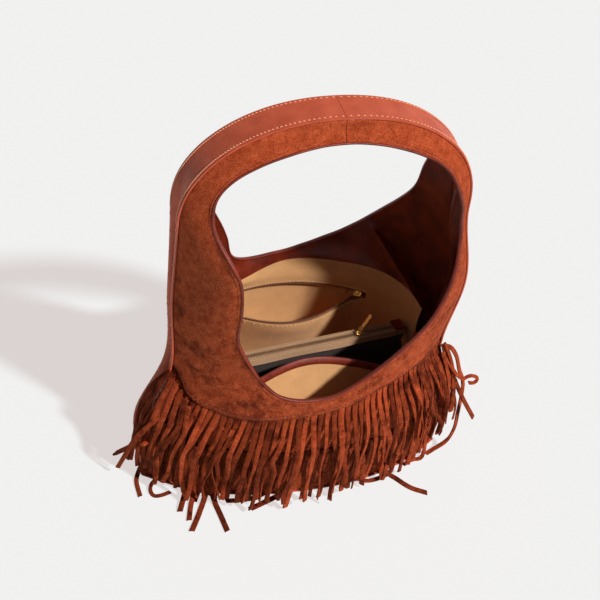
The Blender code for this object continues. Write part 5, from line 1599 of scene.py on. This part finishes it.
def curtain_strand(k, place, u, lean, pitch, ring, normals, dice):
    """Strand k of the curtain, which leans with its neighbour; u is its place on the ring."""
    under = SUEDE + GAP + STRAND_THICK / 2.0
    end = max(abs(place) - END_FROM, 0.0) / END_SPAN
    messy = float(ease((place - MESSY_FROM) / MESSY_SPAN))
    top = yoke_z(place) - GAP
    length = UPPER_LENGTH * (dice.uniform(*LENGTHS) - 0.08 * messy)
    length = min(length, top - UPPER_TIP_Z * dice.uniform(*TIPS))
    lean = LEAN_KEPT * lean + dice.gauss(0.0, 1.0)
    drift = STRAND_DRIFT * (lean * 0.6 + dice.gauss(0.0, 0.7)) * (1.0 + 0.9 * end + 0.4 * messy)
    drift -= LEFT_FALL * float(ease((-place - LEFT_FROM) / LEFT_SPAN))
    phase = dice.uniform(0.0, 6.28)
    curl = STRAND_CURL * dice.uniform(*CURLS) * (1.0 + 0.8 * end + 0.8 * messy)
    depth = STRAND_DEPTH + LAYER_DEPTH * LAYERS[k % len(LAYERS)] + LAYER_SPREAD * dice.random()
    wild = dice.random() < WILD_SHARE + 0.20 * end + 0.25 * messy
    turn = math.radians(dice.gauss(0.0, TURN_SPREAD))
    turn += math.radians(WILD_TURN) * wild * dice.choice((-1, 1))
    late = dice.uniform(*LATES)
    kink = dice.uniform(*KINKS)
    kick = dice.gauss(0.0, KINK_KICK) * (1.0 + end)
    caught = FIRST_BOTTOM + u, CAUGHT_ROW
    line = [on_grid(ring, *caught) - on_grid(normals, *caught) * under]
    for j, (centre, out, side) in enumerate(hang_path(place, top, length)):
        s = j / UPPER_ROWS
        grow = float(ease(1.5 * s))
        # One long wave and one short wave sideways, a kink, and a long wave outward
        side_shift = drift * s**1.3 + curl * math.sin(5.2 * s + phase) * grow
        side_shift += 0.35 * curl * math.sin(12.5 * s + 2.0 * phase) * grow
        side_shift += kick * max(1.0 - abs(s - kink) / KINK_SPAN, 0.0)
        out_shift = depth * float(ease(2.6 * s)) + 0.6 * curl * math.sin(4.1 * s + 2.0 * phase) * grow
        sunk = under * (1.0 - float(ease(2.8 * s)))
        line.append(centre + side * side_shift + out * (out_shift - sunk))
    faces = smooth_line([out] * len(line), UPPER_STATIONS)
    line = smooth_line(line, UPPER_STATIONS)
    s = np.linspace(0.0, 1.0, UPPER_STATIONS)
    angles = turn * ease(1.3 * (s - late)) + 0.22 * np.sin(7.0 * s + phase) * ease(2.0 * s)
    faces = twist(faces, line, angles)
    # Side by side at the top, narrower below
    first = pitch - 0.75 * STRAND_GAP
    rest = pitch * dice.uniform(*WIDTHS)
    width = first + (rest - first) * ease(s / 0.22)
    width = width * (1.0 + 0.06 * np.sin(9.0 * s + phase))
    line[:, 2] = np.maximum(line[:, 2], STRAND_LOW_Z)
    return ribbon(line, faces, width, dice.uniform(*CUTS)), lean


def dress_upper_fringe(ring, normals, material):
    """Curtain of curling strands from under the yoke's edge."""
    dice = random.Random(11)
    across = bottom_across(-1)
    cells = BOTTOM_STEPS / FRINGE_PANELS
    middle = FIRST_BOTTOM + BOTTOM_STEPS // 2
    pitch = np.linalg.norm(ring[middle + 1, 0, :2] - ring[middle, 0, :2]) * cells / STRANDS_PER_PANEL
    made = []
    lean = 0.0
    for k in range(FRINGE_PANELS * STRANDS_PER_PANEL):
        u = (k + 0.5) / STRANDS_PER_PANEL * cells
        place = float(np.interp(u, range(BOTTOM_STEPS + 1), across))
        strand, lean = curtain_strand(k, place, u, lean, pitch, ring, normals, dice)
        made.append(strand)
    made += [corner_strand(place, dice) for place in CORNER_PLACES]
    made += placed_strands(LOOSE_STRANDS)
    places = shades(made, dice)
    obj = mesh_object("upper_fringe_strands", *merge(made), material, places, STRAND_SHARP)
    dress(obj, "suede", "fringe_upper")


def dress_lower_fringe(material):
    """Sparser curtain below, and long strands that curl out along the floor."""
    dice = random.Random(4)
    made = []
    header = []
    s = np.linspace(0.0, 1.0, LOWER_STATIONS)
    width = LOWER_WIDTH * LOWER_NARROW * np.ones(LOWER_STATIONS)
    for k in range(LOWER_STRANDS):
        x = outline_x(LOWER_REACH * (2.0 * (k + 0.5) / LOWER_STRANDS - 1.0), LOWER_Z)
        out = level_normal(x, LOWER_Z, -1)
        start = wall_point(x, LOWER_Z, -1) + out * (HEADER_GAP + STRAND_THICK / 2.0)
        header.append(np.concatenate([start, out]))
        points = [start]
        shift = dice.gauss(0.0, LOWER_SWAY)
        for t in STRAND_POINTS:
            swing = shift * t + LOWER_WAVE * math.sin(5.0 * t + k)
            spot = start + beside(out) * swing + out * (0.0028 * t + 0.0015 * math.sin(3.0 * t + k))
            points.append(np.array([spot[0], spot[1], LOWER_Z + (LOWER_END_Z - LOWER_Z) * t]))
        line = smooth_line(points, LOWER_STATIONS)
        angles = math.radians(dice.gauss(0.0, LOWER_TURN)) * s + 0.16 * np.sin(7.0 * s + k)
        faces = twist(np.tile(out, (LOWER_STATIONS, 1)), line, angles)
        made.append(ribbon(line, faces, width, dice.uniform(*LOWER_CUTS)))
    made += placed_strands(FLOOR_STRANDS)
    strip = resample(header, HEADER_STATIONS)
    grid = np.stack([strip[:, :3] + upward(HEADER_TALL), strip[:, :3] - upward(0.0004)], axis=1)
    half = unit_grid(strip[:, 3:])[:, None, :] * STRAND_THICK / 2.0
    made.append(sheet_mesh(grid + half, grid - half))
    places = shades(made, dice)
    obj = mesh_object("lower_fringe_strands", *merge(made), material, places, STRAND_SHARP)
    dress(obj, "suede", "fringe_lower")


def edge_stitches(ring, normals, rows):
    """Tone-on-tone stitch lines along the yoke's lower edge and the mouth."""
    for share in YOKE_STITCH_ROWS:
        row = share * LAP
        j = int(row)
        part = row - j
        line = ring[BOTTOM, j] * (1.0 - part) + ring[BOTTOM, j + 1] * part
        rows.append(stitch_row(line, normals[BOTTOM, j], YOKE_SEAM))
    away = unit_grid(ring[:, -2] - ring[:, -1])
    rows.append(stitch_row(ring[:, -1] + away * MOUTH_STITCH_IN, normals[:, -1], MOUTH_SEAM))


# Materials


def linear(red, green, blue):
    """Colour given from 0 to 255, as the shaders take it."""
    made = []
    for value in (red, green, blue):
        c = value / 255.0
        made.append(c / 12.92 if c <= 0.04045 else ((c + 0.055) / 1.055) ** 2.4)
    return tuple(made)


# Colours
SUEDE_TONES = linear(164, 65, 33), linear(197, 91, 54), linear(124, 43, 20)
STRAND_TONES = linear(152, 60, 31), linear(185, 81, 46), linear(104, 38, 19)
SUEDE_BLOTCH = linear(90, 30, 13)
SMOOTH_TONES = linear(218, 102, 71), linear(200, 86, 57)
ROLL_TONES = linear(144, 52, 34), linear(108, 34, 20)
INNER_TONES = linear(128, 42, 18), linear(92, 27, 11)
TWILL_TONES = linear(228, 176, 122), linear(196, 142, 90)
# Dark brown twill of the divider's front wall: painted shade for the shadow below the divider's tape
PAINTED_SHADE_TWILL_TONES = linear(58, 32, 19), linear(38, 19, 10)
TAPE_TONES = linear(184, 146, 112), linear(138, 102, 76)
BACK_TAPE_TONES = linear(158, 112, 84), linear(120, 80, 58)
PALE_THREAD = linear(250, 184, 146), linear(226, 146, 108)
TONE_THREAD = linear(104, 38, 19), linear(62, 20, 9)
TAN_THREAD = linear(242, 206, 158), linear(206, 164, 114)
BRASS_TONES = (0.52, 0.33, 0.12), (0.74, 0.52, 0.24)
TWILL_PITCH = 0.0011
TAPE_PITCH = 0.0009
# Distance between two bands of a wave texture of scale one
WAVE_SCALE = 0.314159


class Nodes:
    """Node tree of a material or of the world, with short ways to add to it."""

    def __init__(self, owner):
        owner.use_nodes = True
        self.made = owner
        self.tree = owner.node_tree

    def feed(self, socket, value):
        """Give an input its value: a number, a colour or another node's output."""
        if isinstance(value, bpy.types.NodeSocket):
            self.tree.links.new(value, socket)
        elif socket.type == "RGBA":
            socket.default_value = (*value, 1.0)
        else:
            socket.default_value = value

    def fill(self, node, inputs):
        """Give a node's inputs their values."""
        for key, value in inputs.items():
            self.feed(node.inputs[key], value)
        return node

    def add(self, kind, inputs, **settings):
        """Node of a kind, with its settings and inputs."""
        node = self.tree.nodes.new(kind)
        for key, value in settings.items():
            setattr(node, key, value)
        return self.fill(node, inputs)

    def place(self):
        """Metres of the object's own frame."""
        return self.add("ShaderNodeTexCoord", {}).outputs["Object"]

    def cloth_place(self):
        """Metres along and across the flat sheet."""
        return self.add("ShaderNodeUVMap", {}, uv_map="cloth").outputs["UV"]

    def axis(self, place, name):
        """One axis of a place."""
        return self.add("ShaderNodeSeparateXYZ", {0: place}).outputs[name]

    def mapped(self, place, key, value):
        """Place turned or stretched."""
        return self.add("ShaderNodeMapping", {"Vector": place, key: value}).outputs["Vector"]

    def noise(self, place, scale, detail=3.0, rough=0.55):
        """Noise value at a scale per metre."""
        inputs = {"Vector": place, "Scale": scale, "Detail": detail, "Roughness": rough}
        return self.add("ShaderNodeTexNoise", inputs).outputs["Fac"]

    def bands(self, place, axis, inputs):
        """Value of a wave texture's bands across an axis."""
        inputs = {"Vector": place, **inputs}
        node = self.add("ShaderNodeTexWave", inputs, wave_type="BANDS", bands_direction=axis)
        return node.outputs["Fac"]

    def spread(self, value, low, high, out_low=0.0, out_high=1.0):
        """Value from low to high, stretched to another span."""
        inputs = {"Value": value, "From Min": low, "From Max": high, "To Min": out_low, "To Max": out_high}
        return self.add("ShaderNodeMapRange", inputs).outputs["Result"]

    def sum(self, first, second, operation="ADD"):
        """Two values put together; the second may be a number."""
        return self.add("ShaderNodeMath", {0: first, 1: second}, operation=operation).outputs[0]

    def times(self, first, second):
        """Product of two values; the second may be a number."""
        return self.sum(first, second, "MULTIPLY")

    def mix(self, factor, first, second, blend="MIX"):
        """Colours mixed by a value; each is an output or a colour."""
        node = self.add("ShaderNodeMix", {}, data_type="RGBA", blend_type=blend)
        for key, value in (("Factor", factor), ("A", first), ("B", second)):
            self.feed([s for s in node.inputs if s.name == key and s.enabled][0], value)
        return [s for s in node.outputs if s.enabled][0]

    def shaded(self, colour, value, dark, light):
        """Colour darkened and lightened by a value."""
        return self.mix(1.0, colour, self.mix(value, dark, light), "MULTIPLY")

    def bump(self, height, distance, strength):
        """Bumps of a height in metres."""
        inputs = {"Height": height, "Distance": distance, "Strength": strength}
        return self.add("ShaderNodeBump", inputs).outputs["Normal"]

    def finish(self, colour, roughness, normal, inputs):
        """Material with the inputs of its shader."""
        inputs = {"Base Color": colour, "Roughness": roughness, "Normal": normal, **inputs}
        self.fill(self.tree.nodes["Principled BSDF"], inputs)
        return self.made


def material_nodes(name):
    """Nodes of a new material."""
    return Nodes(bpy.data.materials.new(name))


def grey(value):
    """Grey of a value."""
    return (value, value, value)


def suede_material(name, tones, strands=False):
    """Suede: mottled nap, brushed patches and a few dark ones, darker and blotchier towards the bottom of the
    bag; each strand has its own shade.
    """
    tone, lit, dark = tones
    nodes = material_nodes(name)
    place = nodes.place()
    broad = nodes.spread(nodes.noise(place, 30.0, 4.0, 0.6), 0.38, 0.62)
    mid = nodes.spread(nodes.noise(place, 150.0, 5.0, 0.68), 0.36, 0.66)
    fine = nodes.spread(nodes.noise(place, 1050.0, 4.0, 0.75), 0.35, 0.65)
    patch = nodes.spread(nodes.noise(place, 46.0, 6.0, 0.72), 0.52, 0.66)
    # Mottling towards the dark tone and the dark blotches are at full strength below 0.17 m and fade to 0.18
    # of it above 0.30 m
    low_mottle = nodes.spread(nodes.axis(place, "Z"), 0.17, 0.30, 1.0, 0.18)
    colour = nodes.mix(nodes.times(broad, low_mottle), tone, dark)
    colour = nodes.mix(nodes.times(mid, 0.82), colour, lit)
    colour = nodes.mix(nodes.times(nodes.times(patch, 0.95), low_mottle), colour, SUEDE_BLOTCH)
    colour = nodes.shaded(colour, fine, grey(0.50), grey(1.44))
    if strands:
        own = nodes.axis(nodes.cloth_place(), "Y")
        colour = nodes.shaded(colour, own, (0.44, 0.42, 0.40), (1.20, 1.18, 1.16))
    normal = nodes.bump(nodes.sum(fine, nodes.times(mid, 1.8)), 0.00016, 0.85)
    sheen = {"Sheen Weight": 0.16, "Sheen Roughness": 0.5, "Sheen Tint": lit}
    return nodes.finish(colour, 0.95, normal, {"Specular IOR Level": 0.08, **sheen})


def leather_material(name, tones, roughness, shine=0.3):
    """Smooth leather: fine grain, a little wear."""
    tone, dark = tones
    nodes = material_nodes(name)
    place = nodes.place()
    colour = nodes.mix(nodes.spread(nodes.noise(place, 60.0), 0.35, 0.68), dark, tone)
    inputs = {"Vector": place, "Scale": 1300.0}
    cells = nodes.add("ShaderNodeTexVoronoi", inputs, feature="DISTANCE_TO_EDGE")
    pebble = nodes.spread(cells.outputs["Distance"], 0.0, 0.22)
    height = nodes.sum(pebble, nodes.times(nodes.noise(place, 4200.0, 2.0), 0.5))
    colour = nodes.shaded(colour, pebble, grey(0.80), grey(1.05))
    rough = nodes.spread(nodes.noise(place, 240.0), 0.3, 0.7, roughness - 0.06, roughness + 0.10)
    return nodes.finish(colour, rough, nodes.bump(height, 0.00006, 0.6), {"Specular IOR Level": shine})


def twill_material(name, tones, pitch, use_cloth_map=True):
    """Woven twill: slanted ribs crossed by threads."""
    tone, dark = tones
    nodes = material_nodes(name)
    place = nodes.cloth_place() if use_cloth_map else nodes.place()
    turned = nodes.mapped(place, "Rotation", (0.0, 0.0, math.radians(38.0)))
    settings = {"Scale": WAVE_SCALE / pitch, "Distortion": 0.6, "Detail": 1.0, "Detail Scale": 2.0}
    ribs = nodes.bands(turned, "X", settings)
    threads = nodes.bands(place, "Y", {"Scale": WAVE_SCALE / (0.8 * pitch), "Distortion": 1.0})
    weave = nodes.sum(ribs, nodes.times(threads, 0.35))
    spots = nodes.spread(nodes.noise(nodes.place(), 90.0, 4.0), 0.3, 0.7)
    colour = nodes.mix(nodes.spread(weave, 0.1, 1.2), dark, tone)
    colour = nodes.shaded(colour, spots, grey(0.93), grey(1.05))
    normal = nodes.bump(weave, 0.00012, 0.7)
    return nodes.finish(colour, 0.82, normal, {"Specular IOR Level": 0.25, "Sheen Weight": 0.12})


def thread_material(name, tones):
    """Waxed sewing thread with its twist."""
    nodes = material_nodes(name)
    twisted = nodes.noise(nodes.place(), 5200.0, 2.0)
    colour = nodes.mix(nodes.spread(twisted, 0.35, 0.65), tones[1], tones[0])
    return nodes.finish(colour, 0.6, nodes.bump(twisted, 0.00006, 0.6), {"Specular IOR Level": 0.3})


def coil_material(name, tones):
    """Matt nylon coil."""
    nodes = material_nodes(name)
    speck = nodes.noise(nodes.place(), 2600.0, 2.0)
    colour = nodes.mix(nodes.spread(speck, 0.3, 0.7), tones[1], tones[0])
    return nodes.finish(colour, 0.48, nodes.bump(speck, 0.00005, 0.5), {})


def brass_material(name):
    """Polished brass with light handling marks."""
    nodes = material_nodes(name)
    place = nodes.place()
    cloud = nodes.noise(place, 420.0, 4.0)
    colour = nodes.mix(nodes.spread(cloud, 0.3, 0.7), *BRASS_TONES)
    scratches = nodes.noise(nodes.mapped(place, "Scale", (300.0, 2600.0, 2600.0)), 1.0, 2.0)
    rough = nodes.spread(cloud, 0.3, 0.7, 0.20, 0.38)
    return nodes.finish(colour, rough, nodes.bump(scratches, 0.00003, 0.5), {"Metallic": 1.0})


# Surroundings
SUN_FROM = (0.4277, -0.5474, 0.7193)
SUN_LIGHT = 3.5
SUN_ANGLE = math.radians(4.0)
SUN_TONE = (1.0, 0.985, 0.965)
WORLD_LIGHT = 0.08
WORLD_TONE = (1.0, 0.965, 0.93)
BACKDROP_TONE = (0.880, 0.876, 0.878)
FLOOR_TONE = (0.73, 0.94, 1.0)
FLOOR_GLOW = 0.70
FLOOR_GLOW_TONE = (0.979, 0.902, 0.881)
FLOOR_HALF = 6.0
CAMERA_AZIMUTH = math.radians(-21.46)
CAMERA_RISE = math.radians(40.34)
CAMERA_ROLL = math.radians(9.14)
CAMERA_DISTANCE = 1.2884
CAMERA_TARGET = (0.0073, 0.0434, 0.1449)
CAMERA_LENS = 84.0
CAMERA_SENSOR = 36.0
CAMERA_NEAR = 0.05


def seen_directly(nodes):
    """One for rays from the camera, a mirror or glass, else nought."""
    rays = nodes.add("ShaderNodeLightPath", {}).outputs
    first = nodes.sum(rays["Is Camera Ray"], rays["Is Glossy Ray"], "MAXIMUM")
    return nodes.sum(first, rays["Is Transmission Ray"], "MAXIMUM")


def split(nodes, share, first, second, output):
    """Two shaders mixed by a share, and linked to the output."""
    mixed = nodes.add("ShaderNodeMixShader", {0: share, 1: first.outputs[0], 2: second.outputs[0]})
    nodes.fill(nodes.tree.nodes[output], {"Surface": mixed.outputs[0]})


def make_floor():
    """Wide flat pale floor that reads as a white ground and keeps the shadow."""
    nodes = material_nodes("studio_floor")
    shader = nodes.tree.nodes["Principled BSDF"]
    nodes.fill(shader, {"Base Color": FLOOR_TONE, "Roughness": 0.9, "Specular IOR Level": 0.1})
    glow = nodes.add("ShaderNodeEmission", {"Color": FLOOR_GLOW_TONE})
    split(nodes, nodes.times(seen_directly(nodes), FLOOR_GLOW), shader, glow, "Material Output")
    mesh = bpy.data.meshes.new("studio_floor")
    corners = [(a * FLOOR_HALF, b * FLOOR_HALF, 0.0) for a, b in ((-1, -1), (1, -1), (1, 1), (-1, 1))]
    mesh.from_pydata(corners, [], [(0, 1, 2, 3)])
    mesh.materials.append(nodes.made)
    obj = in_scene("studio_floor", mesh)


def make_world():
    """Even light from all round, and a pale backdrop."""
    world = bpy.data.worlds.new("studio")
    bpy.context.scene.world = world
    nodes = Nodes(world)
    light = nodes.fill(nodes.tree.nodes["Background"], {"Color": WORLD_TONE, "Strength": WORLD_LIGHT})
    backdrop = nodes.add("ShaderNodeBackground", {"Color": BACKDROP_TONE, "Strength": 1.0})
    split(nodes, seen_directly(nodes), light, backdrop, "World Output")


def make_sun():
    """Main light from the right of the camera."""
    lamp = bpy.data.lights.new("key_light", "SUN")
    lamp.energy = SUN_LIGHT
    lamp.angle = SUN_ANGLE
    lamp.color = SUN_TONE
    in_scene("key_light", lamp).rotation_euler = Vector(SUN_FROM).to_track_quat("Z", "Y").to_euler()


def make_camera():
    """Camera at the photograph's angle."""
    a, e, r = CAMERA_AZIMUTH, CAMERA_RISE, CAMERA_ROLL
    ahead = Vector((-math.sin(a) * math.cos(e), math.cos(a) * math.cos(e), -math.sin(e)))
    right = Vector((math.cos(a), math.sin(a), 0.0))
    up = right.cross(ahead)
    turned_right = right * math.cos(r) + up * math.sin(r)
    turned_up = up * math.cos(r) - right * math.sin(r)
    lens = bpy.data.cameras.new("photo_camera")
    lens.lens = CAMERA_LENS
    lens.sensor_width = CAMERA_SENSOR
    lens.clip_start = CAMERA_NEAR
    obj = in_scene("photo_camera", lens)
    place = Vector(CAMERA_TARGET) - ahead * CAMERA_DISTANCE
    turn = Matrix((turned_right, turned_up, -ahead)).transposed().to_4x4()
    obj.matrix_world = Matrix.Translation(place) @ turn
    bpy.context.scene.camera = obj


def dress_solids(material, *names):
    """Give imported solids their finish."""
    for name in names:
        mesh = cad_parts[name].data
        mesh.materials.clear()
        mesh.materials.append(material)


SIDES = (("front", -1), ("back", 1))


def build():
    """Dress the bag and light it."""
    suede = suede_material("suede_nap", SUEDE_TONES)
    strand = suede_material("strand_suede", STRAND_TONES, True)
    smooth = leather_material("smooth_leather_grain", SMOOTH_TONES, 0.46, 0.16)
    roll = leather_material("rolled_leather_grain", ROLL_TONES, 0.34)
    inside = leather_material("inner_leather_grain", INNER_TONES, 0.38, 0.2)
    twill = twill_material("lining_weave", TWILL_TONES, TWILL_PITCH)
    # Dark brown twill for the divider's front wall: painted shade for the shadow between the divider and the
    # slip pocket
    deep = twill_material("painted_shade_weave", PAINTED_SHADE_TWILL_TONES, TWILL_PITCH)
    tape = twill_material("divider_tape_weave", TAPE_TONES, TAPE_PITCH)
    back_tape = twill_material("pocket_tape_weave", BACK_TAPE_TONES, TAPE_PITCH)
    coil = coil_material("coil", TAPE_TONES)
    back_coil = coil_material("back_coil", BACK_TAPE_TONES)

    pale = []
    tone = []
    tan = []
    low = LINING_FLOOR_Z
    rings = {side: dress_yoke(name + "_panel", side, suede) for name, side in SIDES}
    for name, side in SIDES:
        dress_body(name + "_body", *rings[side], side, suede)
    for name, side in SIDES:
        dress_binding(name + "_mouth_binding", *rings[side], roll)
    for name, side in SIDES:
        dress_facing(name + "_facing", *rings[side], side, inside)
    dress_gusset("right", 1.0, smooth, inside, pale)
    dress_gusset("left", -1.0, smooth, inside, pale)
    dress_front_lining(low, twill)
    dress_back_lining(low, twill, tan)
    dress_pocket_zip(back_tape, back_coil)
    dress_pouch(low, twill)
    dress_divider(low, deep, twill, tape, coil, tan)
    dress_slip_pocket(twill, roll, tone)
    dress_upper_fringe(*rings[-1], strand)
    dress_lower_fringe(strand)
    for name, side in SIDES:
        edge_stitches(*rings[side], tone)
    stitches("gusset_stitches", pale, thread_material("pale_thread", PALE_THREAD), "smooth_leather")
    stitches("leather_stitches", tone, thread_material("tone_thread", TONE_THREAD), "suede")
    stitches("lining_stitches", tan, thread_material("tan_thread", TAN_THREAD), "lining_twill")
    brass = brass_material("brass_polish")
    dress_solids(brass, "divider_slider", "divider_pull", "pocket_slider", "pocket_pull")
    dress_solids(smooth, "base_panel")
    dress_solids(inside, "divider_stop_left", "divider_stop_right")
    dress_solids(twill_material("floor_weave", TWILL_TONES, TWILL_PITCH, False), "lining_floor")
    dress_solids(coil, "base_board")
    make_floor()
    make_world()
    make_sun()
    make_camera()
    bpy.context.scene.view_settings.view_transform = "Standard"


build()
